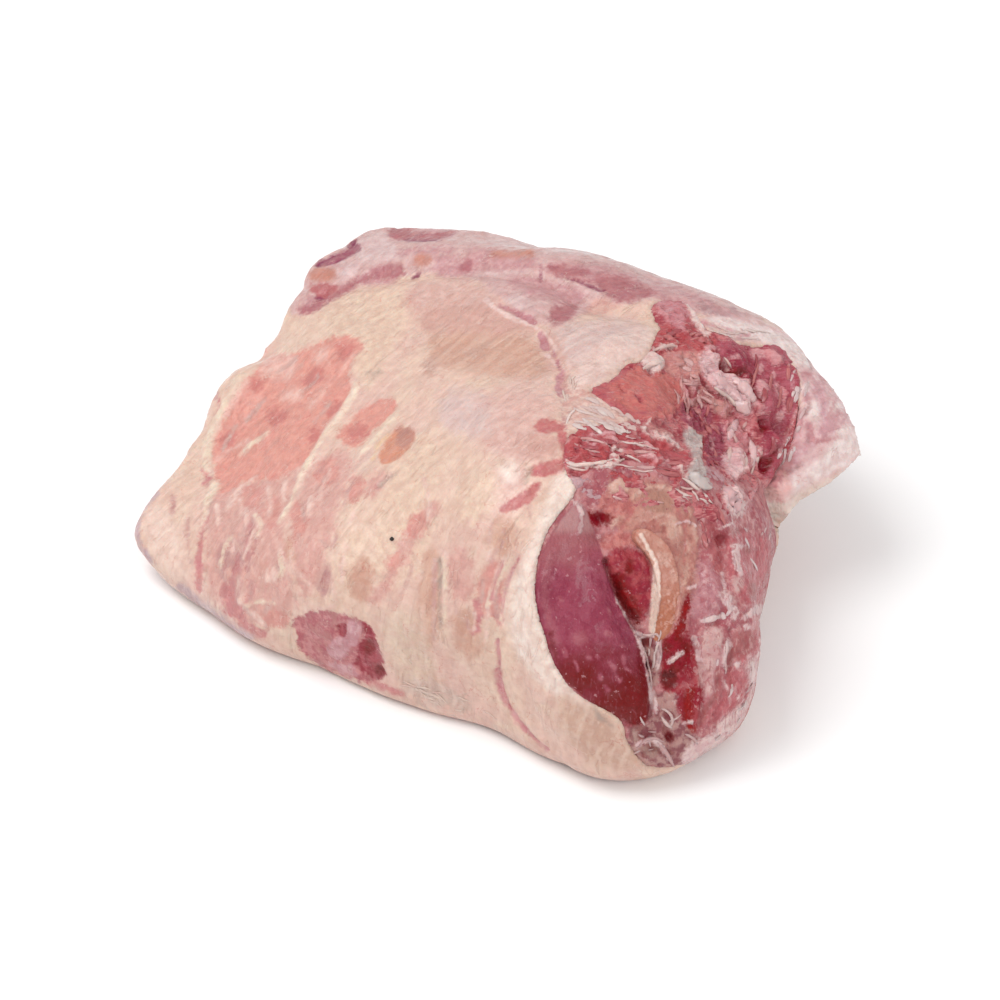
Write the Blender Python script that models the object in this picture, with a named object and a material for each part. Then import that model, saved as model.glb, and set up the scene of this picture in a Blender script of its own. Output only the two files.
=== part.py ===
"""Raw lamb shoulder, bone in: a block of meat in its own fat, resting on its rib side.

The long way of the block runs along X. The fat covers the top and the sides, and the two
cuts are at the +X end: the smooth arm cut towards -Y, and the torn neck cut behind it.
"""

import math

import bmesh
import bpy
import numpy as np
from mathutils import Matrix, Vector

# Outline of the block in plan, seen from above and taken round its middle: the bearing from +X in
# degrees, the reach at the rim, the height of the rim over the table, the reach of the foot, and how
# full the shoulder over the rim is: 2 is a round one, less is a plain slope, more is a boxy one.
OUTLINE = (
    (4, 0.092, 0.030, 0.080, 2.8),
    (16, 0.085, 0.035, 0.062, 2.4),  # hollow between the arm cut and the neck flap
    (26, 0.090, 0.042, 0.050, 1.9),
    (35, 0.098, 0.048, 0.046, 1.9),  # neck flap
    (45, 0.108, 0.055, 0.056, 2.2),
    (60, 0.107, 0.056, 0.074, 2.4),
    (80, 0.094, 0.052, 0.082, 2.6),
    (100, 0.092, 0.052, 0.084, 2.8),
    (118, 0.101, 0.055, 0.088, 3.0),
    (132, 0.114, 0.059, 0.097, 3.0),
    (147, 0.131, 0.059, 0.110, 3.0),  # corner where the strap muscle ends
    (158, 0.129, 0.054, 0.108, 3.0),
    (170, 0.118, 0.045, 0.102, 2.8),
    (185, 0.118, 0.034, 0.102, 2.4),
    (200, 0.122, 0.023, 0.108, 2.3),
    (215, 0.132, 0.015, 0.120, 2.0),  # thin breast corner
    (229, 0.114, 0.013, 0.105, 2.1),
    (244, 0.101, 0.012, 0.093, 2.4),
    (262, 0.090, 0.013, 0.083, 2.5),
    (280, 0.088, 0.014, 0.081, 2.8),
    (297, 0.093, 0.014, 0.085, 3.2),
    (312, 0.117, 0.014, 0.106, 3.6),
    (326, 0.122, 0.014, 0.110, 3.6),  # foot of the arm cut
    (340, 0.118, 0.020, 0.105, 3.4),
    (352, 0.098, 0.026, 0.086, 3.0),
)
# Height of the back over the table, from the thin breast end to the cut end, and its twist: how much
# higher it is behind at the breast end and in front at the cut end, for each square metre of x times y.
BACK_LINE = (
    (-0.130, 0.040), (-0.080, 0.059), (-0.030, 0.077),
    (0.030, 0.091), (0.080, 0.090), (0.130, 0.078),
)
BACK_TWIST = 2.4
SIDE_FULLNESS = 2.2  # of the side from the rim down to the foot
SIDE_STRAIGHTENING = 3.0  # how much of that goes where the foot is set far back
SIDE_LEAST_FULLNESS = 0.9
SIDE_SHARE = 0.4  # of the lower half that is side, the rest lying flat

# Tip of the neck flap, pulled out to a point.
FLAP_TIP = np.array((0.081, 0.056, 0.047))
FLAP_PULL = np.array((0.019, 0.006, 0.000))
FLAP_PULL_RADIUS = 0.032

# The arm cut: a knife cut that leans back, slightly domed.
ARM_MIDDLE = np.array((0.084, -0.057, 0.042))
ARM_BEARING = -38
ARM_LEAN = 36
ARM_DOME = 0.005
ARM_RADIUS = 0.050
ARM_EDGE_DROP = 2  # the dome falls away by this many times its height past its edge, and no more
CUT_ROUNDING = 0.012
CUT_SKIN = 0.010  # how far behind the cut its relief still shows

# Relief of the arm cut. Each place is in millimetres to the right of the cut's middle and up it.
FAT_LIP = ((-20, 55), (-31, 44), (-39, 30), (-44, 12), (-43, -6), (-37, -22), (-24, -36), (-8, -43))
MARBLED_MUSCLE = ((18, 28), (25, 10), (22, -12), (12, -32))
LARGE_MUSCLE_EDGE = ((-16, 45), (-27, 34), (-33, 20), (-33, -2), (-23, -21), (-10, -29))
MUSCLE_SEAM = ((-12, 30), (-10, 13), (-5, 0), (-4, -15), (-5, -30))
BEHIND_BONE = ((15, 38), (16, 20), (12, 4), (7, -12))
# Path, height (below nought for a crease) and width.
ARM_RIDGES = (
    (FAT_LIP, 2.6, 10),
    (MARBLED_MUSCLE, 2.0, 12),
    (LARGE_MUSCLE_EDGE, -1.8, 4.5),
    (MUSCLE_SEAM, -3.6, 5.0),
    (BEHIND_BONE, -2.2, 5.0),
)
# Place, height (below nought for a dent) and radius.
ARM_LUMPS = (
    ((-20, 8), 3.2, 20),  # large muscle
    ((-7, 16), 1.6, 8),  # small muscle between it and the bone
    ((9, 41), 3.0, 15),  # fat dome over the bone
    ((14, -26), 1.6, 9),
    ((36, 12), 1.5, 8),
    ((-11, 41), -3.6, 6),  # notch at the top of the large muscle
    ((1, -8), -2.4, 6),
    ((-6, -37), -3.6, 5),  # hole between the torn sinews at the foot of the cut
    ((-1, -34), 1.8, 4),
    ((-12, -35), 1.6, 4),
)

# Relief of the rest. Each place is in millimetres in the block's own frame.
UNDER_STRAP = (
    (-107, 27, 50), (-97, 38, 57), (-77, 46, 65),
    (-51, 51, 72), (-21, 49, 79), (5, 45, 83), (35, 52, 83),
)
BACK_SEAM = ((-30, 30, 77), (-2, 17, 83), (18, -4, 88), (42, -36, 92))
OUTSIDE_FAT_LIP = ((40, -72, 76), (45, -84, 57), (50, -88, 36), (57, -89, 20), (69, -90, 10))
UNDER_FLAP_EDGE = ((50, 62, 78), (69, 57, 70), (82, 40, 58))
STRAP_MUSCLE = ((-106, 42, 55), (-80, 59, 66), (-23, 65, 77), (22, 62, 80))
TORN_SINEW = ((46, 36, 82), (60, 32, 76), (72, 30, 68))
FLAP_RIM = ((90, 2, 60), (88, 22, 47), (93, 39, 45), (100, 56, 43))
RIDGES = (
    (UNDER_STRAP, -2.8, 8),
    (BACK_SEAM, -1.4, 5),
    (OUTSIDE_FAT_LIP, -3.4, 5),
    (((20, -80, 64), (27, -89, 39)), -1.4, 5),
    (UNDER_FLAP_EDGE, -4.5, 8),
    (STRAP_MUSCLE, 2.2, 15),
    (TORN_SINEW, 3.0, 7),
    (FLAP_RIM, 1.6, 8),
)
LUMPS = (
    ((66, 20, 78), -6.0, 30),  # hollow of the neck cut
    ((66, 36, 72), -4.5, 8),  # pits in the hollow
    ((75, 43, 66), -4.5, 7),
    ((85, 35, 55), -5.0, 8),
    ((90, -5, 70), -4.5, 7),
    ((73, -13, 86), 3.4, 7),  # gristle
    ((90, -13, 73), 4.0, 8),  # fat lump beside the lowest pit
    ((20, 18, 88), 1.6, 20),  # fat pad on the back
    ((-114, 12, 45), -6.5, 20),  # hollow of the thin side under the end of the strap muscle
    ((-112, -11, 37), 5.4, 22),  # swelling in front of it
    ((87, 22, 36), 4.0, 14),  # under the neck flap
)

# Torn crags of the neck cut: how many, where seen from above, how far spread, how high and how wide.
CRAG_COUNT = 70
CRAG_MIDDLE = (64, 14)
CRAG_SPREAD = (25, 46)
CRAG_HEIGHT = 1.5
CRAG_RADIUS = (3.0, 6.0)
CRAG_FLOOR = 0.048  # only what is higher than this is torn
CRAG_FADE = 0.008
PATH_FADE = 0.25  # share of a crease or ridge at each end over which it fades out

# Slow unevenness of the whole.
WAVE_HEIGHT = 0.0011
WAVE_LENGTHS = (0.035, 0.085)
WAVE_COUNT = 9
FLAT_MARGIN = 0.012  # the relief fades out towards the table within this height

# Bone that shows at the arm cut: its section in millimetres to the right and up, and its length.
BONE_SECTION = ((0, 40), (3, 30), (3, 18), (-1, 4), (4, 5), (9, 13), (11, 24), (8, 36))
BONE_LENGTH = 0.045
BONE_PROUD = 0.0012
SLOT_GAP = 0.0003
SLOT_REACH = 0.020  # how far the slot's cutter sticks out of the cut

SHOULDER_COLOUR, SHOULDER_ROUGHNESS = (0.72, 0.42, 0.36), 0.38
BONE_COLOUR, BONE_ROUGHNESS = (0.80, 0.66, 0.48), 0.45

GRID = 62  # faces along each side of the cube that the block is made from
FACE_BUDGET = 11400  # triangles that are kept of the finished shoulder
CUT_SIDE = (0.60, -0.10, 0.55)  # the side that gets the smaller faces
CUT_SIDE_PULL = 0.42
MILLIMETRE = 0.001
SEED = 11
TABLE_SNAP = 0.0002  # what comes this close to the table lies flat on it


def clear_scene():
    for found in list(bpy.data.objects):
        bpy.data.objects.remove(found, do_unlink=True)


def hermite(stations, values, at):
    """A smooth curve through values at rising stations, read at each number in at."""
    slopes = np.gradient(values, stations)
    i = np.clip(np.searchsorted(stations, at) - 1, 0, len(stations) - 2)
    step = stations[i + 1] - stations[i]
    t = np.clip((at - stations[i]) / step, 0, 1)
    near, far = 1 - t, t
    return (
        near**2 * (1 + 2 * far) * values[i]
        + far**2 * (1 + 2 * near) * values[i + 1]
        + near**2 * far * step * slopes[i]
        - far**2 * near * step * slopes[i + 1]
    )


def around(bearing, column):
    """A column of OUTLINE as a smooth closed curve, read at each bearing in degrees."""
    rows = np.array(OUTLINE, float)
    turn = np.array((360, 0, 0, 0, 0))
    wrapped = np.concatenate([rows - turn, rows, rows + turn])
    return hermite(wrapped[:, 0], wrapped[:, column], np.mod(bearing, 360))


def block_form(direction):
    """Where a point of the unit ball goes on the plain block."""
    bearing = np.degrees(np.arctan2(direction[:, 1], direction[:, 0]))
    rise = np.arcsin(np.clip(direction[:, 2], -1, 1))
    reach, rim, foot = around(bearing, 1), around(bearing, 2), around(bearing, 3)
    # Over the rim: a full round shoulder up to the back.
    fullness = around(bearing, 4)
    over_reach = reach * np.cos(rise) ** (2 / fullness)
    upward = np.abs(np.sin(rise)) ** (2 / fullness)
    back = np.array(BACK_LINE)
    x, y = over_reach * np.cos(np.radians(bearing)), over_reach * np.sin(np.radians(bearing))
    top = hermite(back[:, 0], back[:, 1], x) - BACK_TWIST * x * y
    over_height = rim + (top - rim) * upward
    # Under the rim: a side that curves in to the foot, and then the flat underside.
    share = -rise / (math.pi / 2)
    turn = np.clip(share / SIDE_SHARE, 0, 1) * math.pi / 2
    side = np.maximum(SIDE_LEAST_FULLNESS, SIDE_FULLNESS - SIDE_STRAIGHTENING * (1 - foot / reach))
    side_reach = foot + (reach - foot) * np.cos(turn) ** (2 / side)
    side_height = rim * (1 - np.sin(turn) ** (2 / side))
    flat_reach = foot * (1 - np.clip((share - SIDE_SHARE) / (1 - SIDE_SHARE), 0, 1))
    is_over, is_side = rise > 0, share < SIDE_SHARE
    far = np.where(is_over, over_reach, np.where(is_side, side_reach, flat_reach))
    height = np.where(is_over, over_height, np.where(is_side, side_height, 0))
    angle = np.radians(bearing)
    return np.stack([far * np.cos(angle), far * np.sin(angle), height], axis=1)


def draw_out_flap(points):
    """Draws the neck flap out to a point."""
    near = np.maximum(0, 1 - np.linalg.norm(points - FLAP_TIP, axis=1) / FLAP_PULL_RADIUS)
    return points + near[:, None] * FLAP_PULL


def soft_least(a, b, rounding):
    """The lesser of a and b, with the corner between them rounded."""
    blend = np.clip(0.5 + 0.5 * (b - a) / rounding, 0, 1)
    return b * (1 - blend) + a * blend - rounding * blend * (1 - blend)


def arm_frame():
    """The arm cut's own directions: out of the meat, along the cut to the right, and up it."""
    bearing, lean = math.radians(ARM_BEARING), math.radians(ARM_LEAN)
    flat = math.cos(lean)
    out = np.array((math.cos(bearing) * flat, math.sin(bearing) * flat, math.sin(lean)))
    right = np.array((-math.sin(bearing), math.cos(bearing), 0))
    return out, right, np.cross(out, right)


def cut_arm(points):
    """Moves what lies outside the arm cut back onto it."""
    out, right, up = arm_frame()
    proud = (points - ARM_MIDDLE) @ out
    across = np.hypot((points - ARM_MIDDLE) @ right, (points - ARM_MIDDLE) @ up)
    dome = ARM_DOME * np.maximum(-ARM_EDGE_DROP, 1 - (across / ARM_RADIUS) ** 2)
    kept = soft_least(proud, dome, CUT_ROUNDING)
    return points + (kept - proud)[:, None] * out


def path_place(points, path):
    """How far each point is from a path of straight stretches, and how far along the path that is."""
    path = np.array(path, float) * MILLIMETRE
    lengths = np.linalg.norm(np.diff(path, axis=0), axis=1)
    nearest, along_path, passed = np.full(len(points), np.inf), np.zeros(len(points)), 0
    for start, end, length in zip(path[:-1], path[1:], lengths):
        along = end - start
        share = np.clip((points - start) @ along / length**2, 0, 1)
        away = np.linalg.norm(points - start - share[:, None] * along, axis=1)
        along_path = np.where(away < nearest, passed + share * length, along_path)
        nearest = np.minimum(nearest, away)
        passed += length
    return nearest, along_path / passed


def swell(distance, height, width):
    """A rounded swelling: its height in the middle, nothing at width from it, both in millimetres."""
    return height * MILLIMETRE * (1 - np.clip(distance / (width * MILLIMETRE), 0, 1) ** 2) ** 2


def ridge(points, path, height, width):
    """A swelling along a path, fading out at both ends."""
    distance, along = path_place(points, path)
    fade = np.clip(np.minimum(along, 1 - along) / PATH_FADE, 0, 1)
    return swell(distance, height, width) * (1 - (1 - fade) ** 2)


def lump(points, place, height, radius):
    return swell(np.linalg.norm(points - np.array(place) * MILLIMETRE, axis=1), height, radius)


def shape_arm_face(points):
    """Muscles, seams and fat lip of the arm cut."""
    out, right, up = arm_frame()
    place = np.stack([(points - ARM_MIDDLE) @ right, (points - ARM_MIDDLE) @ up], axis=1)
    proud = (points - ARM_MIDDLE) @ out
    on_cut = np.clip(1 + (proud - ARM_DOME) / CUT_SKIN, 0, 1)
    rise = np.zeros(len(points))
    for path, height, width in ARM_RIDGES:
        rise += ridge(place, path, height, width)
    for middle, height, radius in ARM_LUMPS:
        rise += lump(place, middle, height, radius)
    return points + (rise * on_cut)[:, None] * out


def crags(points):
    """Torn crags of the neck cut, spread at random and seen from above."""
    draw = np.random.default_rng(SEED)
    rise = np.zeros(len(points))
    for _ in range(CRAG_COUNT):
        angle, far = draw.uniform(0, 2 * math.pi), math.sqrt(draw.uniform())
        place = np.array(CRAG_MIDDLE) + far * np.array(CRAG_SPREAD) * (math.cos(angle), math.sin(angle))
        height = CRAG_HEIGHT * draw.choice((-1, 1))
        rise += lump(points[:, :2], place, height, draw.uniform(*CRAG_RADIUS))
    return rise * np.clip((points[:, 2] - CRAG_FLOOR) / CRAG_FADE, 0, 1)


def waves(points):
    """Slow unevenness, from waves of mixed lengths that run in mixed directions."""
    draw = np.random.default_rng(SEED)
    rise = np.zeros(len(points))
    for _ in range(WAVE_COUNT):
        way = draw.normal(size=3)
        way *= 2 * math.pi / np.linalg.norm(way) / draw.uniform(*WAVE_LENGTHS)
        rise += np.sin(points @ way + draw.uniform(0, 2 * math.pi))
    return rise * WAVE_HEIGHT / math.sqrt(WAVE_COUNT / 2)


def shape_outside(points, normals):
    """Creases, rolls, crags and unevenness of everything but the arm cut."""
    rise = waves(points) + crags(points)
    for path, height, width in RIDGES:
        rise += ridge(points, path, height, width)
    for place, height, radius in LUMPS:
        rise += lump(points, place, height, radius)
    fade = np.clip(points[:, 2] / FLAT_MARGIN, 0, 1) ** 2
    moved = points + (rise * fade)[:, None] * normals
    moved[:, 2] = np.maximum(moved[:, 2], 0)
    return moved


def rounded_cube(name, grid):
    """A cube of grid x grid faces a side, its points on the unit ball and closer on the cut side."""
    bpy.ops.mesh.primitive_cube_add(size=2)
    block = bpy.context.object
    block.name = name
    crowding = Vector(CUT_SIDE).normalized() * CUT_SIDE_PULL
    mesh = bmesh.new()
    mesh.from_mesh(block.data)
    bmesh.ops.subdivide_edges(mesh, edges=mesh.edges[:], cuts=grid - 1, use_grid_fill=True)
    for vertex in mesh.verts:
        vertex.co = [math.tan(c * math.pi / 4) for c in vertex.co]
        vertex.co.normalize()
        vertex.co += crowding
        vertex.co.normalize()
    mesh.to_mesh(block.data)
    mesh.free()
    return block


def get_points(mesh):
    points = np.empty(len(mesh.vertices) * 3)
    mesh.vertices.foreach_get("co", points)
    return points.reshape(-1, 3)


def set_points(mesh, points):
    mesh.vertices.foreach_set("co", points.ravel())
    mesh.update()


def get_normals(mesh):
    normals = np.empty(len(mesh.vertices) * 3)
    mesh.vertex_normals.foreach_get("vector", normals)
    return normals.reshape(-1, 3)


def build_shoulder():
    shoulder = rounded_cube("shoulder", GRID)
    points = block_form(get_points(shoulder.data))
    points = draw_out_flap(points)
    points = cut_arm(points)
    points = shape_arm_face(points)
    set_points(shoulder.data, points)
    set_points(shoulder.data, shape_outside(points, get_normals(shoulder.data)))
    thin_out(shoulder)
    shoulder.data.shade_smooth()
    return shoulder


def thin_out(piece):
    """Keeps the faces where the form turns, and lets the calm and flat stretches have few."""
    thinner = piece.modifiers.new("thin out", "DECIMATE")
    thinner.ratio = FACE_BUDGET / (2 * len(piece.data.polygons))
    evaluated = piece.evaluated_get(bpy.context.evaluated_depsgraph_get())
    thinned = bpy.data.meshes.new_from_object(evaluated)
    piece.modifiers.clear()
    piece.data = thinned
    points = get_points(thinned)
    points[points[:, 2] < TABLE_SNAP, 2] = 0
    set_points(thinned, points)


def bone_solid(name, spare, proud):
    """The bone as an extruded flat outline, spare larger all round, standing proud of the cut."""
    length = BONE_LENGTH + spare
    outline = bpy.data.curves.new(name, "CURVE")
    outline.dimensions = "2D"
    outline.fill_mode = "BOTH"
    outline.extrude = (length + proud) / 2
    outline.offset = spare
    outline.resolution_u = 4
    spline = outline.splines.new("BEZIER")
    spline.bezier_points.add(len(BONE_SECTION) - 1)
    for point, (across, upward) in zip(spline.bezier_points, BONE_SECTION):
        point.co = (across * MILLIMETRE, upward * MILLIMETRE, 0)
        point.handle_left_type = point.handle_right_type = "AUTO"
    spline.use_cyclic_u = True
    curve = bpy.data.objects.new(name + "_curve", outline)
    out, right, up = arm_frame()
    middle = Vector(ARM_MIDDLE + out * (ARM_DOME + (proud - length) / 2))
    turn = Matrix((right, up, out)).transposed().to_4x4()
    curve.matrix_world = Matrix.Translation(middle) @ turn
    bpy.context.scene.collection.objects.link(curve)
    bpy.context.view_layer.update()
    evaluated = curve.evaluated_get(bpy.context.evaluated_depsgraph_get())
    data = bpy.data.meshes.new_from_object(evaluated)
    mesh = bmesh.new()
    mesh.from_mesh(data)
    bmesh.ops.remove_doubles(mesh, verts=mesh.verts[:], dist=0.00001)
    bmesh.ops.transform(mesh, matrix=curve.matrix_world, verts=mesh.verts[:])
    mesh.to_mesh(data)
    mesh.free()
    bpy.data.objects.remove(curve, do_unlink=True)
    data.name = name
    return bpy.data.objects.new(name, data)


def cut_slot(shoulder, slot):
    cut = shoulder.modifiers.new("bone slot", "BOOLEAN")
    cut.operation = "DIFFERENCE"
    cut.object = slot
    cut.solver = "EXACT"


def stand_on_origin(objects, shoulder):
    """Puts the middle of the shoulder's underside at the origin."""
    points = get_points(shoulder.data)
    low, high = points.min(axis=0), points.max(axis=0)
    shift = np.array(((low[0] + high[0]) / 2, (low[1] + high[1]) / 2, low[2]))
    for found in objects:
        set_points(found.data, get_points(found.data) - shift)


def paint(piece, colour, roughness):
    material = bpy.data.materials.new(piece.name)
    material.use_nodes = True
    shader = material.node_tree.nodes["Principled BSDF"]
    shader.inputs["Base Color"].default_value = (*colour, 1)
    shader.inputs["Roughness"].default_value = roughness
    shader.inputs["Metallic"].default_value = 0
    piece.data.materials.clear()
    piece.data.materials.append(material)


def gather(name, objects):
    collection = bpy.data.collections.new(name)
    bpy.context.scene.collection.children.link(collection)
    for found in objects:
        for old in found.users_collection:
            old.objects.unlink(found)
        collection.objects.link(found)


def main():
    clear_scene()
    shoulder = build_shoulder()
    bone = bone_solid("blade_bone", 0, BONE_PROUD)
    slot = bone_solid("bone_slot", SLOT_GAP, SLOT_REACH)
    gather("lamb_shoulder", [shoulder, bone])
    gather("cutters", [slot])
    slot.hide_render = True
    slot.display_type = "WIRE"
    cut_slot(shoulder, slot)
    stand_on_origin([shoulder, bone, slot], shoulder)
    paint(shoulder, SHOULDER_COLOUR, SHOULDER_ROUGHNESS)
    paint(bone, BONE_COLOUR, BONE_ROUGHNESS)


main()
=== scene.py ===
"""Raw lamb shoulder: the looks of its fat, its two cuts and its bone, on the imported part."""

import math
import random

import bmesh
import bpy
import numpy as np
from mathutils import Matrix, Vector, noise
from mathutils.bvhtree import BVHTree
from mathutils.kdtree import KDTree


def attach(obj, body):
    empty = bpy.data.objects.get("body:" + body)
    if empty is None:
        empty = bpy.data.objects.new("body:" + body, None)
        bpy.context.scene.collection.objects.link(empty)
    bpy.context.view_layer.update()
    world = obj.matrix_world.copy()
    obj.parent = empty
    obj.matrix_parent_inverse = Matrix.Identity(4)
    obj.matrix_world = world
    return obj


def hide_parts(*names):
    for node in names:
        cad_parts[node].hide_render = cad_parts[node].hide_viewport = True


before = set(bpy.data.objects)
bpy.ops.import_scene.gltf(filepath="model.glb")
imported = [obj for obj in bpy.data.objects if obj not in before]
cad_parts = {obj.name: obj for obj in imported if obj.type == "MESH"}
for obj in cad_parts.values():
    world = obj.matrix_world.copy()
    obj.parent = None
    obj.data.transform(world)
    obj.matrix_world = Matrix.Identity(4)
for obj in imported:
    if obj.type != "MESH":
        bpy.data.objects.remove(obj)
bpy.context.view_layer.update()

MM = 0.001

# Camera
# A long lens in front of the right half of the block, looking down at it. Places read off the
# picture are in its pixels, to the right and down from the top left corner.
PICTURE_SIDE = 1000
CAMERA_BEARING = math.radians(32)
CAMERA_RISE = math.radians(40)
CAMERA_DISTANCE = 1.1
CAMERA_TARGET = np.array((-0.0195, 0.0215, 0.0))
LENS = 110
SENSOR = 36
FOCAL_PIXELS = LENS / SENSOR * PICTURE_SIDE
PIXELS_PER_MM = 2.85
NEAREST_SEEN = 0.05

camera_right = np.array((math.cos(CAMERA_BEARING), math.sin(CAMERA_BEARING), 0))
level = math.cos(CAMERA_RISE)
to_camera = np.array(
    (math.sin(CAMERA_BEARING) * level, -math.cos(CAMERA_BEARING) * level, math.sin(CAMERA_RISE))
)
camera_up = np.cross(to_camera, camera_right)
camera_place = CAMERA_TARGET + to_camera * CAMERA_DISTANCE

camera_data = bpy.data.cameras.new("camera")
camera_data.lens = LENS
camera_data.sensor_width = SENSOR
camera_data.clip_start = NEAREST_SEEN
camera = bpy.data.objects.new("camera", camera_data)
bpy.context.scene.collection.objects.link(camera)
camera.matrix_world = Matrix.Translation(camera_place) @ Matrix(
    np.stack([camera_right, camera_up, to_camera], axis=1).tolist()
).to_4x4()
bpy.context.scene.camera = camera


def picture_places(points):
    """Where points show in the picture, in pixels."""
    away = points - camera_place
    depth = -(away @ to_camera)
    across = away @ camera_right / depth * FOCAL_PIXELS
    upward = away @ camera_up / depth * FOCAL_PIXELS
    return np.stack([PICTURE_SIDE / 2 + across, PICTURE_SIDE / 2 - upward], axis=1)


def facing(points, normals):
    """How squarely a surface faces the camera: 1 is straight on, and below 0 is turned away."""
    away = camera_place - points
    return (normals * away).sum(axis=1) / np.linalg.norm(away, axis=1)


# Block that every piece lies on
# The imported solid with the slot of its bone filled, remeshed fine enough to carry the relief of
# meat and fat. The fat cover is made from it, and the cuts and shreds are laid on it.
SLOT_WALL = 0.45 * MM  # what lies this close to the bone is the slot's wall
WELD = 0.01 * MM
BLOCK_VOXEL = 1.12 * MM
BLOCK_SMOOTHING = 9


def vectors_of(items, field):
    values = np.empty(len(items) * 3)
    items.foreach_get(field, values)
    return values.reshape(-1, 3)


def get_points(mesh):
    return vectors_of(mesh.vertices, "co")


def get_normals(mesh):
    return vectors_of(mesh.vertex_normals, "vector")


def set_points(mesh, points):
    mesh.vertices.foreach_set("co", points.ravel())
    mesh.update()


def add_piece(name, mesh):
    piece = bpy.data.objects.new(name, mesh)
    mesh.name = name
    bpy.context.scene.collection.objects.link(piece)
    return piece


def remeshed(piece, voxel, smoothing):
    """The piece's form as an even, smoothed mesh."""
    remesh = piece.modifiers.new("even faces", "REMESH")
    remesh.mode = "VOXEL"
    remesh.voxel_size = voxel
    smooth = piece.modifiers.new("soften", "SMOOTH")
    smooth.iterations = smoothing
    bpy.context.view_layer.update()
    evaluated = piece.evaluated_get(bpy.context.evaluated_depsgraph_get())
    mesh = bpy.data.meshes.new_from_object(evaluated)
    piece.modifiers.clear()
    mesh.shade_smooth()
    return mesh


def without_slot():
    """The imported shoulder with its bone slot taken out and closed."""
    bone_tree = BVHTree.FromObject(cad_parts["blade_bone"], bpy.context.evaluated_depsgraph_get())
    mesh = bmesh.new()
    mesh.from_mesh(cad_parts["shoulder"].data)
    bmesh.ops.remove_doubles(mesh, verts=mesh.verts[:], dist=WELD)
    wall = [v for v in mesh.verts if bone_tree.find_nearest(v.co)[3] < SLOT_WALL]
    bmesh.ops.delete(mesh, geom=wall, context="VERTS")
    bmesh.ops.holes_fill(mesh, edges=[e for e in mesh.edges if e.is_boundary])
    bmesh.ops.triangulate(mesh, faces=mesh.faces[:])
    data = bpy.data.meshes.new("closed block")
    mesh.to_mesh(data)
    mesh.free()
    return data


def tree_of(*pieces):
    """A tree of the faces of pieces, to find places on them."""
    points, faces = [], []
    for piece in pieces:
        start = len(points)
        points += [v.co[:] for v in piece.data.vertices]
        faces += [[start + i for i in p.vertices] for p in piece.data.polygons]
    return BVHTree.FromPolygons(points, faces)


# Small moves of the block's form: the place, the move and how far round it they reach, in mm.
BLOCK_MOVES = (
    ((-106, 11, 40), (-4.5, -2.8, 0), 22),
    ((-112, 56, 58), (3.6, 0.8, -1.5), 22),
    ((-114, 32, 50), (2.8, 1.8, 0), 15),
    ((-110, -38, 26), (-1.8, -1.1, 0), 20),
    ((-113, -82, 14), (-5, -2, 0), 20),
    ((-25, -91, 3), (0.5, 3, 0), 30),
    ((72, -87, 3), (-1, 3.5, 0), 24),
    ((113, -56, 8), (-3, -0.5, 0), 24),
    ((-40, 81, 70), (0.7, -1, -1.5), 26),
    ((40, 87, 70), (0.6, -0.9, -1.4), 20),
)

fat_cover = add_piece("fat_cover", without_slot())
fat_cover.data = remeshed(fat_cover, BLOCK_VOXEL, BLOCK_SMOOTHING)
moved = get_points(fat_cover.data)
for place, move, radius in BLOCK_MOVES:
    gap = np.linalg.norm(moved - np.array(place) * MM, axis=1)
    near = np.maximum(0, 1 - gap / (radius * MM)) ** 1.5
    moved += near[:, None] * np.array(move) * MM
set_points(fat_cover.data, moved)
block_tree = tree_of(fat_cover)
block_points = get_points(fat_cover.data)
block_normals = get_normals(fat_cover.data)


# Fat cover
# The skin of fat over the whole block, with lean showing through where it is thin. It rises
# in a thick lip round the arm cut, and sinks under the two cuts, whose meat lies in it.
def rounded(path, closed):
    """A path of straight stretches with its corners cut off."""
    path = np.array(path, float)
    for _ in range(2):
        after = np.roll(path, -1, axis=0)
        near, far = 0.75 * path + 0.25 * after, 0.25 * path + 0.75 * after
        cut = np.stack([near, far], axis=1).reshape(-1, 2)
        path = cut if closed else np.vstack([path[:1], cut[1:-3], path[-1:]])
    return path


def path_gap(places, path):
    """How far places are from a path, in pixels, and how far along it as a share of its length."""
    gap, along_path = np.full(len(places), np.inf), np.zeros(len(places))
    passed = 0
    for start, end in zip(path[:-1], path[1:]):
        along = end - start
        length = np.linalg.norm(along) or 1
        share = np.clip((places - start) @ along / length**2, 0, 1)
        away = np.linalg.norm(places - start - share[:, None] * along, axis=1)
        along_path = np.where(away < gap, passed + share * length, along_path)
        gap = np.minimum(gap, away)
        passed += length
    return gap, along_path / passed


def is_inside(places, outline):
    x, y = places.T
    inside = np.zeros(len(places), bool)
    for (x1, y1), (x2, y2) in zip(outline, np.roll(outline, -1, axis=0)):
        passes = (y1 > y) != (y2 > y)
        inside ^= passes & (x < (x2 - x1) * (y - y1) / ((y2 - y1) or 1) + x1)
    return inside


FAR = 40  # millimetres past an outline where it no longer matters how far


def near_only(places, path, measure):
    """Runs measure on the places near a path, and calls the others far outside it."""
    margin = FAR * PIXELS_PER_MM
    low, high = path.min(axis=0) - margin, path.max(axis=0) + margin
    near = ((places > low) & (places < high)).all(axis=1)
    result = np.full(len(places), -float(FAR))
    result[near] = np.maximum(measure(places[near]), -FAR)
    return result


def area(*corners):
    """An area of the picture, from the x and y of its corners. It gives how far inside a place is, in mm."""
    outline = rounded(np.reshape(corners, (-1, 2)), True)
    closed = np.vstack([outline, outline[:1]])

    def measure(places):
        gap = path_gap(places, closed)[0] / PIXELS_PER_MM
        return np.where(is_inside(places, outline), gap, -gap)

    return lambda places: near_only(places, outline, measure)


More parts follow.
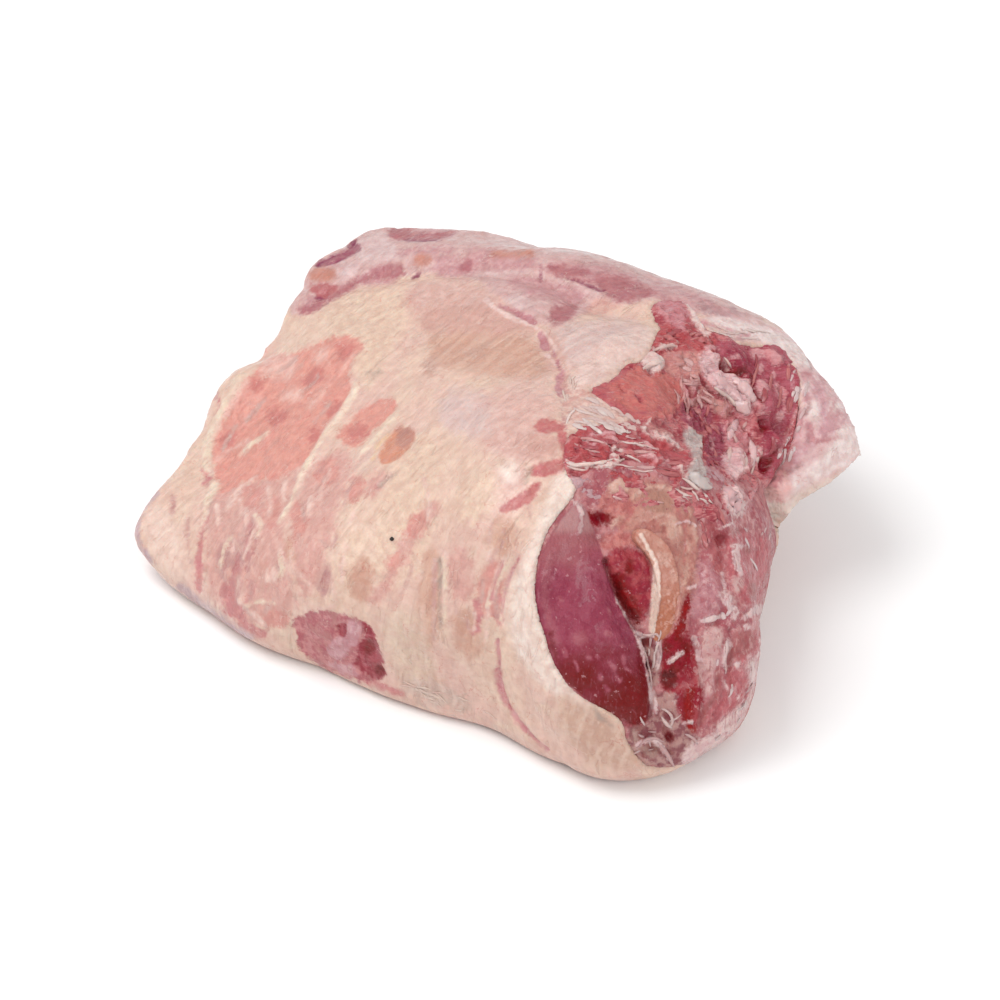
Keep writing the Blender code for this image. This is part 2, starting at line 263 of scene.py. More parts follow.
def line(width, *corners, end=None):
    """A line in the picture, width mm wide or tapered to end. It gives how far inside a place is, in mm."""
    path = rounded(np.reshape(corners, (-1, 2)), False)
    end = width if end is None else end

    def measure(places):
        gap, share = path_gap(places, path)
        return (width + (end - width) * share) / 2 - gap / PIXELS_PER_MM

    return lambda places: near_only(places, path, measure)


def reach(places, shapes):
    """How far inside the nearest of several shapes each place is, in millimetres."""
    return np.maximum.reduce([shape(places) for shape in shapes])


def uneven(points, sizes, detail=2, shift=0.0):
    """Smooth random numbers from about -1 to 1, with swells of that size in millimetres."""
    spots = points / (np.array(sizes, float) * MM) + shift
    return np.array([noise.fractal(spot, 1.0, 2.0, detail) for spot in spots])


def step(value, low, high):
    """0 below low, 1 above high, and a smooth step in between."""
    share = np.clip((value - low) / (high - low), 0, 1)
    return share * share * (3 - 2 * share)


def store(mesh, name, values):
    attribute = mesh.attributes.new(name, "FLOAT", "POINT")
    attribute.data.foreach_set("value", np.asarray(values, np.float32))


# Which way each cut faces: its bearing, and how far it leans back.
ARM_WAY = (math.radians(-38), math.radians(36))
NECK_WAY = (math.radians(12), math.radians(58))


def way_out(bearing, lean):
    """The direction that a cut faces."""
    level = math.cos(lean)
    return np.array((math.cos(bearing) * level, math.sin(bearing) * level, math.sin(lean)))


# Outlines of the two cuts, as the fat leaves them open.
ARM_OPENING = area(
    577, 497, 556, 520, 542, 548, 536, 590, 541, 618, 547, 632, 554, 658, 563, 676, 577, 693, 600, 705,
    618, 714, 627, 726, 628, 740, 638, 755, 652, 768, 700, 760, 730, 738, 751, 705, 766, 660, 774, 610,
    784, 560, 786, 520, 770, 480, 700, 465, 620, 462, 585, 472,
)
NECK_OPENING = area(
    652, 304, 676, 299, 693, 309, 700, 326, 712, 334, 722, 331, 736, 346, 760, 347, 778, 345, 792, 359,
    799, 379, 798, 402, 793, 432, 786, 455, 779, 473, 770, 485, 757, 482, 752, 500, 738, 514, 720, 518,
    690, 512, 640, 506, 598, 498, 574, 488, 565, 464, 567, 444, 576, 428, 600, 426, 622, 425, 638, 420,
    620, 409, 604, 398, 588, 390, 604, 384, 618, 378, 626, 365, 642, 364, 652, 350, 657, 338, 662, 328,
    655, 316,
)

# What shows in the fat: name, places, two colours, edge softness and raggedness and rise, in mm.
FAT_SHOWS = (
    ("cream_fat", (
        area(345, 292, 398, 286, 412, 300, 404, 328, 390, 350, 370, 400, 345, 360, 318, 320),
        area(400, 440, 432, 430, 440, 500, 425, 560, 385, 600, 368, 560, 385, 500),
        area(455, 500, 474, 472, 488, 468, 500, 486, 490, 515, 460, 530),
        area(404, 482, 424, 476, 430, 496, 414, 510, 402, 500),
        area(340, 540, 366, 520, 372, 560, 350, 600, 334, 580),
    ), (0.78, 0.575, 0.455), (0.735, 0.525, 0.42), 3, 3, 0.2),
    ("tan_film_and_groove_shade", (
        area(428, 326, 470, 318, 520, 333, 550, 352, 553, 372, 530, 382, 480, 374, 430, 368),
        # The next area is painted shade on the left side of the flank's upright groove.
        area(424, 550, 438, 545, 442, 600, 440, 645, 424, 650, 420, 600),
        area(388, 640, 420, 640, 432, 670, 444, 690, 420, 696, 396, 676),
        area(450, 612, 474, 606, 486, 640, 480, 660, 458, 655),
        area(348, 560, 372, 556, 372, 600, 352, 600),
        area(490, 522, 516, 518, 520, 540, 504, 560, 488, 552),
        area(274, 540, 304, 536, 306, 560, 284, 566),
    ), (0.62, 0.365, 0.285), (0.67, 0.42, 0.335), 2, 2.2, -0.1),
    ("olive_fat", (
        area(382, 610, 416, 606, 430, 650, 440, 694, 414, 700, 390, 668),
    ), (0.71, 0.525, 0.415), (0.765, 0.57, 0.47), 4, 2.5, 0),
    ("dusky_fat", (
        area(408, 284, 470, 276, 520, 290, 512, 318, 470, 324, 425, 324, 404, 306),
        area(484, 416, 540, 420, 558, 440, 558, 458, 530, 464, 498, 460, 480, 444),
        area(540, 334, 556, 338, 566, 358, 558, 370, 546, 358),
        area(506, 464, 530, 466, 520, 492, 500, 490),
    ), (0.72, 0.475, 0.425), (0.68, 0.42, 0.37), 3, 2.2, 0),
    ("lilac_fat", (
        area(540, 320, 600, 318, 650, 322, 640, 350, 590, 372, 560, 366),
        area(434, 396, 470, 388, 500, 400, 494, 430, 468, 440, 440, 428),
        area(545, 275, 600, 282, 625, 300, 590, 310, 545, 300),
        area(200, 598, 226, 610, 240, 628, 222, 620, 198, 606),
    ), (0.68, 0.5, 0.47), (0.73, 0.515, 0.475), 3, 2.5, 0),
    ("pink_film", (
        area(214, 490, 240, 484, 290, 470, 305, 470, 292, 500, 282, 530, 290, 570, 300, 606, 270, 626,
            235, 622, 210, 600, 204, 560, 206, 520),
        area(306, 470, 330, 448, 352, 452, 348, 490, 330, 530, 318, 590, 300, 606, 290, 560, 296, 510),
        area(448, 552, 466, 550, 474, 566, 472, 596, 460, 604, 448, 590),
        line(5, 432, 508, 420, 526, 404, 548), line(5, 404, 556, 392, 574, 378, 596),
        area(492, 272, 560, 272, 612, 294, 626, 308, 580, 314, 548, 322, 510, 306),
        area(366, 476, 382, 468, 388, 480, 372, 498, 360, 496),
    ), (0.71, 0.425, 0.37), (0.665, 0.365, 0.325), 2.0, 2.2, -0.15),
    ("dusky_tan", (
        area(416, 310, 446, 302, 500, 303, 532, 316, 542, 334, 500, 334, 440, 332, 418, 328),
        area(538, 336, 554, 338, 566, 358, 572, 376, 556, 378, 545, 358),
        area(522, 434, 560, 434, 562, 460, 530, 464, 520, 450),
        area(543, 334, 556, 334, 562, 348, 548, 352),
    ), (0.66, 0.395, 0.345), (0.63, 0.37, 0.315), 3.0, 2.2, 0),
    ("pink_haze", (
        area(484, 396, 505, 382, 546, 386, 556, 408, 530, 436, 498, 430),
    ), (0.735, 0.48, 0.425), (0.71, 0.445, 0.395), 5.0, 3.0, 0),
    ("rosy_film", (
        area(240, 486, 262, 482, 262, 506, 244, 512), area(264, 496, 280, 490, 280, 520, 266, 532),
        area(288, 506, 306, 500, 308, 530, 292, 538),
        area(318, 462, 336, 456, 340, 478, 324, 490, 312, 480),
        area(408, 516, 424, 508, 428, 526, 414, 540, 404, 532),
        area(386, 556, 400, 552, 400, 570, 386, 572), area(260, 610, 290, 612, 288, 628, 262, 628),
        area(478, 572, 500, 556, 504, 575, 498, 610, 484, 620, 478, 600),
        area(350, 474, 366, 478, 362, 500, 344, 506),
    ), (0.7, 0.36, 0.31), (0.66, 0.3, 0.265), 1.4, 1.6, -0.15),
    ("salmon_film", (
        area(345, 336, 363, 340, 360, 352, 352, 364, 348, 376, 353, 386, 349, 398, 338, 412, 327, 424,
            320, 437, 314, 450, 304, 464, 288, 472, 276, 480, 258, 480, 240, 484, 220, 496, 214, 478,
            212, 455, 215, 435, 222, 420, 232, 405, 238, 392, 248, 380, 262, 364, 280, 356, 300, 350,
            326, 338),
        area(372, 400, 385, 397, 397, 402, 394, 413, 385, 421, 372, 432, 362, 442, 352, 449, 341, 442,
            335, 436, 347, 424, 358, 412),
    ), (0.745, 0.355, 0.295), (0.7, 0.305, 0.26), 1.0, 1.3, -0.35),
    ("salmon_deep", (
        area(266, 412, 280, 406, 290, 412, 282, 424, 268, 426),
        area(308, 430, 320, 424, 320, 438, 310, 444),
        area(326, 404, 340, 398, 344, 406, 332, 418, 324, 416),
        area(248, 380, 262, 376, 264, 390, 250, 392),
        area(302, 372, 318, 366, 326, 374, 314, 388, 302, 386),
        area(336, 344, 356, 342, 350, 358, 336, 362), area(218, 434, 232, 428, 236, 446, 222, 458),
        area(344, 428, 364, 422, 372, 430, 352, 444),
    ), (0.64, 0.245, 0.215), (0.59, 0.215, 0.195), 1.4, 1.6, -0.2),
    ("salmon_pale", (
        area(262, 356, 296, 352, 300, 372, 284, 384, 264, 378), line(1.2, 282, 379, 292, 370, 300, 364),
        line(1.2, 266, 350, 264, 364, 262, 376), line(1.3, 310, 406, 326, 388, 342, 370, 354, 354),
        line(1.3, 216, 460, 230, 449, 246, 440), line(1.8, 226, 414, 236, 396, 246, 382),
        area(276, 392, 300, 384, 306, 396, 284, 404), area(312, 350, 330, 344, 328, 360, 312, 364),
    ), (0.8, 0.49, 0.43), (0.76, 0.42, 0.36), 1.2, 1.6, 0.1),
    ("orange_film", (
        area(400, 425, 415, 430, 414, 442, 404, 454, 390, 464, 380, 464, 378, 452, 388, 436),
    ), (0.69, 0.31, 0.205), (0.66, 0.29, 0.21), 0.7, 0.6, -0.4),
    ("orange_shade", (
        area(398, 424, 414, 428, 414, 441, 402, 449, 394, 440),
    ), (0.5, 0.245, 0.205), (0.55, 0.275, 0.22), 1.2, 1.0, -0.2),
    ("orange_rim", (
        line(1.2, 388, 434, 377, 446, 373, 460),
    ), (0.78, 0.55, 0.36), (0.76, 0.50, 0.36), 0.8, 0.8, 0.2),
    ("dusky_streak", (
        area(218, 548, 232, 538, 246, 532, 248, 552, 244, 570, 232, 568, 222, 570, 215, 562),
        area(216, 566, 222, 566, 224, 580, 218, 580),
        area(228, 580, 240, 574, 240, 596, 234, 600, 230, 592),
        area(242, 548, 250, 540, 247, 568, 244, 584),
        area(318, 566, 330, 562, 332, 590, 322, 600, 316, 588), line(1.4, 252, 520, 246, 545, 248, 570),
        line(1.2, 172, 496, 174, 506, 172, 514), line(1.2, 188, 518, 186, 540, 190, 562),
        line(1.4, 212, 500, 206, 518, 204, 530), line(1.2, 208, 462, 212, 472, 206, 480),
        line(1.0, 490, 560, 498, 548, 500, 542), line(1.2, 530, 508, 529, 516, 526, 524),
        line(1.6, 320, 470, 326, 474, 322, 480),
    ), (0.52, 0.28, 0.27), (0.63, 0.38, 0.34), 1.2, 1.8, -0.3),
    ("rose_line", (
        area(222, 600, 240, 602, 248, 620, 232, 622),
        area(226, 590, 236, 590, 236, 606, 240, 620, 230, 618, 222, 606),
        line(2.0, 206, 508, 201, 530, 198, 560, 199, 590),
        line(3.4, 228, 590, 232, 606, 240, 620, 250, 629, 262, 634),
        line(2.0, 250, 584, 251, 594, 247, 602), line(0.9, 393, 473, 386, 480, 378, 485),
        line(2.6, 478, 602, 479, 616, 476, 632), line(1.6, 499, 596, 496, 612, 499, 624),
        line(1.2, 214, 392, 220, 402, 216, 416), line(2.0, 360, 680, 380, 685, 402, 694),
        line(1.4, 203, 470, 208, 476, 204, 484),
    ), (0.66, 0.31, 0.29), (0.58, 0.235, 0.24), 0.9, 1.2, -0.3),
    ("strand_dark_and_groove_shade", (
        line(1.3, 244, 524, 242, 540, 238, 550), line(0.9, 250, 522, 248, 534),
        line(1.4, 236, 544, 234, 558), line(1.0, 245, 552, 243, 566),
        line(1.0, 222, 562, 230, 565, 240, 564), line(0.9, 217, 560, 219, 572, 223, 580),
        line(1.2, 238, 574, 235, 586, 234, 602), line(1.4, 250, 584, 249, 600),
        line(0.9, 276, 566, 284, 574, 290, 582), line(0.9, 298, 534, 299, 545),
        line(0.9, 320, 540, 330, 550), line(1.0, 336, 536, 333, 547), line(1.0, 342, 558, 341, 572),
        line(1.2, 302, 504, 304, 520), line(1.0, 224, 528, 226, 540), line(0.9, 230, 520, 233, 534),
        line(1.1, 210, 498, 208, 512), line(1.2, 243, 606, 252, 620), line(1.3, 272, 600, 264, 614),
        line(1.0, 260, 620, 268, 630), line(1.2, 318, 588, 323, 602), line(1.0, 491, 524, 489, 542),
        line(0.9, 503, 530, 508, 541), line(0.9, 516, 526, 517, 545), line(1.1, 502, 542, 496, 552),
        line(1.4, 483, 580, 481, 602), line(1.4, 506, 566, 497, 584, 494, 600, 498, 618),
        # The first line on the next row is painted shade on the left side of the flank's upright groove.
        line(1.6, 434, 560, 434, 600, 434, 640), line(1.0, 466, 616, 468, 628),
        line(0.9, 455, 602, 457, 614), line(1.0, 412, 566, 408, 580, 402, 594),
        line(0.9, 352, 480, 346, 492, 344, 504), line(0.9, 296, 356, 288, 366, 276, 372),
        line(0.9, 318, 374, 310, 384, 300, 390), line(1.0, 330, 402, 322, 412, 314, 420),
        line(1.0, 264, 398, 256, 410, 246, 420), line(0.9, 236, 424, 228, 436, 222, 448),
    ), (0.60, 0.355, 0.325), (0.66, 0.42, 0.37), 0.7, 0.8, -0.35),
    ("strand_pale_and_groove_highlight", (
        line(1.0, 242, 486, 232, 500, 227, 510), line(0.9, 256, 476, 246, 482),
        line(1.2, 217, 506, 218, 522), line(0.9, 240, 500, 240, 514), line(0.9, 246, 508, 246, 524),
        line(1.4, 257, 519, 258, 526), line(1.3, 253, 532, 248, 546, 243, 558),
        line(0.9, 256, 534, 256, 546), line(0.9, 228, 538, 226, 552), line(0.9, 234, 538, 229, 556),
        line(1.6, 281, 552, 281, 562, 286, 566), line(1.0, 291, 551, 290, 566, 300, 576, 308, 584),
        line(1.0, 267, 568, 268, 580), line(1.0, 274, 568, 275, 579),
        line(2.2, 240, 582, 241, 594, 239, 602), line(1.0, 248, 612, 258, 616, 263, 625),
        line(1.6, 311, 498, 309, 514), line(1.0, 268, 488, 271, 500, 268, 516),
        line(1.4, 346, 546, 343, 564, 342, 582), line(1.0, 332, 584, 337, 602),
        line(1.0, 356, 508, 350, 522), line(1.2, 284, 500, 282, 492, 286, 482),
        line(1.0, 312, 604, 322, 610, 334, 606), line(0.9, 492, 546, 488, 559),
        line(1.8, 503, 560, 494, 582, 489, 600, 487, 618, 486, 640, end=0.8),
        # The first line on the next row is a painted highlight on the right side of the flank's upright
        # groove.
        line(1.6, 444, 550, 445, 575, 444, 604), line(0.8, 474, 612, 474, 630),
        line(1.0, 425, 480, 430, 500, 428, 520), line(1.0, 330, 470, 322, 484, 318, 498),
    ), (0.81, 0.575, 0.51), (0.785, 0.54, 0.475), 0.9, 1.0, 0.35),
    ("hatching", (
        line(1.4, 251, 524, 247, 536, 242, 548), line(1.2, 243, 540, 240, 552, 236, 562),
        line(1.3, 237, 552, 234, 566), line(1.2, 228, 554, 230, 568), line(1.4, 247, 554, 244, 570),
        line(1.2, 221, 556, 225, 570), line(1.7, 232, 580, 229, 594, 234, 606),
        line(1.2, 241, 582, 238, 596), line(1.4, 225, 584, 223, 596),
        area(226, 565, 240, 563, 242, 574, 230, 577), line(1.0, 232, 534, 228, 546),
        line(1.0, 256, 540, 252, 552),
    ), (0.50, 0.205, 0.205), (0.57, 0.265, 0.255), 1.0, 1.4, -0.3),
    ("cream_streak_and_groove_highlight", (
        line(2.6, 357, 386, 348, 402, 338, 418, 328, 430, 320, 442, 312, 455, 304, 470, 298, 484, 290, 504,
            279, 522, end=1.1),
        line(2.2, 398, 414, 384, 428, 368, 446, 358, 458, end=0.8),
        line(1.8, 240, 376, 224, 404, 212, 428, 206, 452, 207, 468, end=2.4),
        line(2.4, 217, 484, 206, 504, 200, 530, end=0.9), line(0.9, 268, 432, 252, 444, 238, 456),
        # The first line on the next row is a painted highlight on the right side of the flank's upright
        # groove.
        line(1.4, 444, 560, 446, 590, 444, 622), line(1.6, 512, 558, 502, 574, 493, 590, 488, 606, end=0.7),
        line(1.0, 232, 536, 222, 552, 220, 566), line(1.0, 256, 516, 262, 524, 258, 534),
        line(1.3, 280, 556, 284, 566, 280, 576), line(1.0, 246, 606, 262, 600, 276, 604),
    ), (0.83, 0.68, 0.54), (0.8, 0.62, 0.51), 0.8, 1.0, 0.5),
    ("strap_muscle", (
        area(290, 314, 290, 270, 310, 240, 340, 205, 480, 195, 580, 215, 660, 245, 740, 290, 770, 325,
            740, 322, 700, 318, 662, 300, 640, 303, 616, 304, 596, 296, 590, 306, 580, 318, 560, 326,
            544, 326, 532, 322, 516, 310, 500, 296, 470, 276, 430, 274, 400, 277, 370, 282, 345, 292,
            325, 302, 302, 316),
    ), (0.69, 0.46, 0.44), (0.63, 0.39, 0.38), 1.2, 1.2, 0.3),
    ("strap_pale", (
        area(360, 236, 384, 230, 390, 242, 400, 252, 400, 261, 372, 264, 354, 262, 352, 250),
        area(504, 297, 526, 296, 534, 310, 520, 311, 507, 304), line(2.6, 545, 252, 575, 253, 602, 258),
        line(2.0, 612, 262, 640, 271, 670, 283, 700, 294),
        area(338, 264, 352, 262, 362, 268, 354, 276, 342, 280), line(1.3, 470, 275, 500, 273, 530, 272),
        line(1.2, 560, 279, 580, 287, 600, 294), line(1.0, 440, 270, 460, 274, 480, 276),
        line(1.4, 470, 242, 500, 244, 530, 249),
    ), (0.72, 0.53, 0.515), (0.67, 0.465, 0.46), 1.8, 1.0, 0.3),
    ("strap_rose", (
        area(430, 263, 470, 264, 484, 276, 436, 278),
        area(545, 262, 600, 262, 640, 276, 690, 291, 740, 314, 745, 324, 700, 314, 660, 300, 610, 286,
            580, 283, 545, 276),
        area(396, 218, 448, 216, 460, 236, 420, 241, 400, 240), line(2.0, 400, 253, 425, 250, 450, 252),
        area(430, 254, 458, 254, 462, 264, 436, 267),
        area(463, 250, 500, 249, 545, 262, 545, 271, 500, 270, 468, 272),
        area(500, 276, 560, 280, 588, 294, 580, 308, 545, 302, 520, 293),
        area(640, 282, 690, 290, 710, 302, 690, 306, 650, 298),
        area(304, 296, 318, 296, 320, 304, 306, 314), line(2.2, 362, 279, 376, 282, 392, 281),
        line(1.4, 320, 266, 330, 266, 338, 262),
    ), (0.63, 0.36, 0.36), (0.56, 0.285, 0.30), 1.6, 1.0, -0.1),
    ("strap_lean", (
        area(543, 265, 572, 266, 592, 272, 580, 278, 556, 277),
        area(387, 224, 410, 224, 413, 240, 389, 242), line(2.0, 412, 236, 430, 237, 450, 235),
        area(368, 268, 386, 264, 400, 262, 408, 276, 370, 281),
        line(2.4, 304, 311, 320, 303, 332, 296, 346, 289, 358, 280, 366, 276),
        area(459, 261, 472, 259, 473, 270, 460, 272),
        area(592, 272, 610, 274, 626, 278, 646, 288, 660, 294, 640, 301, 620, 303, 600, 292),
        line(1.6, 556, 276, 576, 279, 592, 282), area(552, 306, 574, 302, 579, 312, 564, 323, 546, 323),
    ), (0.49, 0.2, 0.21), (0.43, 0.155, 0.175), 1.2, 1.1, -0.35),
    ("neck_mottle", (
        area(698, 306, 712, 305, 716, 316, 704, 318), area(714, 312, 724, 311, 730, 319, 720, 322),
        line(1.2, 732, 308, 738, 314),
    ), (0.47, 0.255, 0.265), (0.55, 0.335, 0.34), 0.9, 2.2, -0.1),
    ("strap_rim", (
        area(344, 240, 357, 234, 358, 247, 348, 253), line(3.2, 356, 248, 343, 256, 326, 262, 318, 264),
        line(1.0, 406, 240, 425, 241, 440, 240), line(1.1, 568, 279, 582, 282, 594, 289, 604, 290),
        line(0.9, 413, 277, 420, 275), area(313, 294, 330, 292, 324, 300, 315, 300),
        line(1.0, 541, 266, 541, 280),
    ), (0.24, 0.035, 0.09), (0.36, 0.11, 0.15), 0.7, 0.9, -0.5),
    ("strap_flesh", (
        area(309, 268, 332, 266, 337, 276, 334, 284, 309, 282),
        area(413, 256, 430, 255, 433, 265, 418, 268), line(2.4, 494, 255, 512, 255, 530, 254),
    ), (0.57, 0.25, 0.195), (0.58, 0.27, 0.22), 1.4, 1.0, 0.2),
    ("strap_red", (
        area(309, 282, 336, 284, 341, 291, 328, 298, 310, 295),
    ), (0.46, 0.13, 0.14), (0.5, 0.18, 0.18), 0.9, 1.0, 0),
    ("seam_pale", (
        line(1.6, 486, 300, 500, 312, 516, 320, 534, 326), line(1.2, 534, 326, 546, 334, 556, 350),
        line(1.0, 540, 352, 550, 356, 556, 366), line(1.0, 566, 360, 572, 372, 570, 384),
        line(0.9, 560, 362, 564, 372),
    ), (0.81, 0.60, 0.565), (0.77, 0.55, 0.51), 0.6, 0.8, 0.4),
    ("seam", (
        line(1.8, 500, 305, 508, 309, 516, 313, end=1.2), line(1.2, 514, 312, 524, 317, 534, 322, end=2.4),
        area(537, 331, 543, 332, 548, 340, 552, 350, 544, 352, 538, 342),
        line(1.2, 552, 352, 558, 362, 562, 374, 566, 396, end=1.6),
        area(556, 372, 566, 368, 568, 392, 562, 400, 554, 390), line(1.0, 566, 396, 562, 412, 566, 428),
    ), (0.52, 0.225, 0.245), (0.60, 0.30, 0.32), 0.5, 0.9, -0.5),
    ("brick_film", (
        area(528, 468, 544, 461, 562, 456, 569, 461, 566, 473, 542, 477, 530, 476),
        line(2.6, 560, 430, 564, 442, 565, 456),
        area(499, 512, 503, 504, 518, 497, 530, 487, 541, 480, 543, 487, 532, 500, 515, 511),
        area(533, 419, 560, 419, 567, 428, 560, 433, 535, 432),
    ), (0.6, 0.225, 0.21), (0.52, 0.15, 0.155), 0.8, 0.9, -0.3),
    ("flap_film", (
        area(700, 318, 760, 318, 812, 344, 850, 380, 872, 440, 850, 470, 810, 490, 775, 505, 786, 470,
            800, 420, 800, 372, 780, 345, 730, 340),
    ), (0.79, 0.535, 0.535), (0.74, 0.46, 0.47), 2.0, 1.6, 0),
    ("flap_pale", (
        area(838, 424, 856, 426, 866, 446, 866, 460, 850, 468, 820, 480, 786, 494, 778, 490, 796, 474,
            818, 458, 830, 446),
        area(806, 402, 818, 399, 822, 412, 817, 424, 808, 422),
        area(700, 318, 740, 318, 790, 338, 816, 362, 806, 370, 796, 366, 770, 344, 720, 332),
        area(828, 402, 842, 403, 840, 411, 829, 411), area(793, 385, 800, 384, 801, 394, 795, 396),
        area(803, 385, 808, 385, 808, 391, 803, 391),
    ), (0.89, 0.745, 0.72), (0.84, 0.655, 0.635), 1.6, 1.2, 0.2),
    ("pad_fat", (
        area(742, 512, 760, 500, 800, 492, 790, 520, 776, 548, 768, 566, 764, 534, 748, 526),
    ), (0.9, 0.72, 0.67), (0.86, 0.65, 0.61), 1.6, 1.4, 0.2),
    ("lilac_pad", (
        area(744, 524, 756, 520, 768, 528, 772, 545, 764, 538, 750, 532),
        area(782, 505, 796, 498, 794, 512, 784, 524),
        area(812, 378, 824, 384, 829, 398, 827, 416, 820, 418, 820, 402, 812, 396),
        area(822, 418, 836, 413, 839, 424, 829, 437, 818, 434),
        area(785, 440, 800, 434, 802, 462, 786, 472, 780, 458),
        area(804, 436, 816, 434, 812, 452, 800, 456),
    ), (0.71, 0.425, 0.46), (0.65, 0.345, 0.375), 1.4, 1.6, 0),
    # Grooves of the pad and the flap, darkened along their length with painted shade.
    ("pad_groove_shade", (
        line(1.5, 754, 505, 761, 515, 767, 527), line(1.2, 808, 396, 810, 404, 806, 414),
        line(1.4, 810, 424, 812, 434, 808, 442), line(1.1, 782, 466, 790, 472, 800, 466),
        line(1.0, 724, 334, 736, 339, 744, 340), line(0.9, 740, 330, 752, 332),
        line(1.2, 802, 345, 808, 356, 812, 368),
    ), (0.50, 0.285, 0.29), (0.56, 0.34, 0.34), 0.8, 1.0, -0.5),
    ("lip_crease", (
        line(1.0, 519, 556, 508, 580, 502, 604, 503, 622),
        line(2.4, 496, 672, 502, 698, 514, 716, 527, 733, 546, 750, end=1.2),
        line(0.8, 503, 560, 494, 585, 492, 600), line(0.9, 497, 640, 498, 658, 499, 674),
    ), (0.58, 0.205, 0.225), (0.68, 0.35, 0.345), 0.7, 0.8, -0.9),
    ("lip_fat", (
        area(560, 470, 585, 472, 575, 510, 548, 545, 542, 600, 548, 650, 566, 684, 596, 708, 560, 700,
            528, 668, 508, 640, 506, 605, 516, 575, 530, 540, 545, 500),
        area(775, 505, 812, 486, 868, 460, 880, 480, 830, 500, 800, 540, 775, 560),
        area(500, 462, 516, 458, 516, 480, 500, 482),
    ), (0.865, 0.715, 0.635), (0.84, 0.67, 0.6), 2.4, 1.2, 0.2),
    ("neck_lip", (
        area(565, 385, 600, 340, 640, 325, 655, 335, 645, 352, 620, 366, 595, 386, 575, 398),
    ), (0.805, 0.60, 0.55), (0.775, 0.56, 0.505), 2.4, 1.2, 0.2),
    ("tip_fat", (
        area(137, 505, 158, 500, 184, 536, 192, 588, 150, 560),
    ), (0.815, 0.615, 0.53), (0.78, 0.565, 0.485), 2.4, 1.4, 0.2),
    ("lip_shade", (
        area(560, 690, 600, 716, 640, 738, 650, 765, 610, 775, 570, 750, 548, 710),
        area(590, 704, 604, 714, 622, 726, 630, 740, 612, 734, 596, 720),
    ), (0.62, 0.4, 0.315), (0.71, 0.5, 0.41), 3.0, 2.0, 0),
    # Mottled ground under the shreds at the neck's left corner: a tan undertone, with painted shade beneath
    # the shreds.
    ("shred_ground", (
        area(562, 388, 590, 386, 606, 398, 628, 412, 640, 422, 620, 430, 574, 430, 562, 415),
        area(560, 372, 574, 372, 572, 392, 562, 396),
    ), (0.78, 0.56, 0.49), (0.64, 0.36, 0.32), 1.2, 2.4, -0.3),
    ("flap_streak", (
        area(800, 371, 812, 371, 811, 381, 801, 380), area(818, 370, 824, 372, 829, 381, 818, 382),
        area(804, 393, 813, 395, 811, 402, 803, 401),
        area(805, 420, 812, 421, 814, 434, 809, 438, 804, 430),
        line(1.2, 838, 413, 834, 424, 824, 438, end=0.8), line(0.9, 836, 398, 832, 408, 828, 416),
        line(1.0, 846, 412, 845, 420, 838, 428), line(0.8, 818, 384, 822, 396),
        line(1.6, 700, 322, 722, 330, 748, 336),
        area(787, 408, 797, 402, 804, 420, 800, 440, 790, 458, 783, 454, 788, 430),
        line(0.9, 812, 440, 824, 442, 836, 438),
    ), (0.60, 0.285, 0.305), (0.68, 0.385, 0.40), 0.8, 1.2, -0.2),
    ("brown_smudge", (
        area(423, 362, 434, 358, 441, 367, 432, 374, 424, 371),
        area(464, 350, 478, 346, 484, 354, 472, 361), area(482, 340, 492, 338, 494, 346, 484, 348),
    ), (0.585, 0.365, 0.30), (0.63, 0.405, 0.335), 1.8, 2.6, -0.2),
    ("grey_smudge_and_groove_shade", (
        line(1.0, 364, 370, 374, 374, 380, 371), line(1.0, 372, 373, 372, 380),
        # The first line on the next row is painted shade down the flank's upright groove.
        line(1.6, 440, 562, 440, 580, 439, 600, 440, 626), line(1.2, 380, 484, 388, 478, 394, 474),
        line(1.2, 526, 480, 528, 474, 530, 468), line(1.4, 594, 706, 600, 718, 614, 727),
    ), (0.46, 0.335, 0.285), (0.57, 0.42, 0.35), 1.0, 1.2, -0.4),
    # Darker along the wrinkles at the foot of the flank.
    ("wrinkle_darkening", (
        area(400, 676, 440, 684, 476, 702, 470, 716, 435, 706, 402, 692),
        line(1.0, 408, 690, 424, 694, 446, 700, 462, 710), line(1.0, 420, 686, 436, 690, 452, 696),
    ), (0.6, 0.43, 0.37), (0.71, 0.52, 0.45), 1.2, 3.0, -0.3),
    # Grey-mauve rims at the left tip and the flap's tip, and painted shade along the foot of the lower left
    # edge where the block meets the table.
    ("tip_rim", (
        line(2.4, 156, 492, 143, 506, 135, 524, 139, 545, 150, 562),
        line(2.2, 180, 586, 200, 604, 224, 622, 250, 638), area(860, 446, 865, 450, 864, 459, 858, 456),
    ), (0.52, 0.36, 0.38), (0.61, 0.44, 0.45), 1.0, 1.2, 0),
    ("red_patch", (
        area(289, 624, 300, 616, 312, 611, 330, 611, 346, 614, 362, 620, 370, 632, 378, 655, 386, 680,
            372, 684, 345, 680, 322, 668, 308, 657, 293, 645, 300, 638),
    ), (0.6, 0.265, 0.265), (0.44, 0.125, 0.145), 0.8, 1.4, -0.5),
    ("patch_lilac", (
        area(346, 616, 362, 622, 360, 640, 350, 652, 340, 660, 326, 656, 328, 644, 342, 638),
        area(322, 662, 350, 664, 360, 676, 344, 678),
    ), (0.66, 0.38, 0.4), (0.57, 0.28, 0.31), 0.9, 1.4, 0.3),
    ("crimson_patch", (
        area(362, 620, 371, 630, 378, 646, 382, 662, 388, 678, 376, 682, 362, 674, 352, 664, 354, 652,
            362, 642, 363, 630),
        area(340, 622, 348, 624, 344, 638, 336, 634),
    ), (0.44, 0.1, 0.12), (0.3, 0.025, 0.045), 0.8, 1.3, -0.6),
    ("crimson_core", (
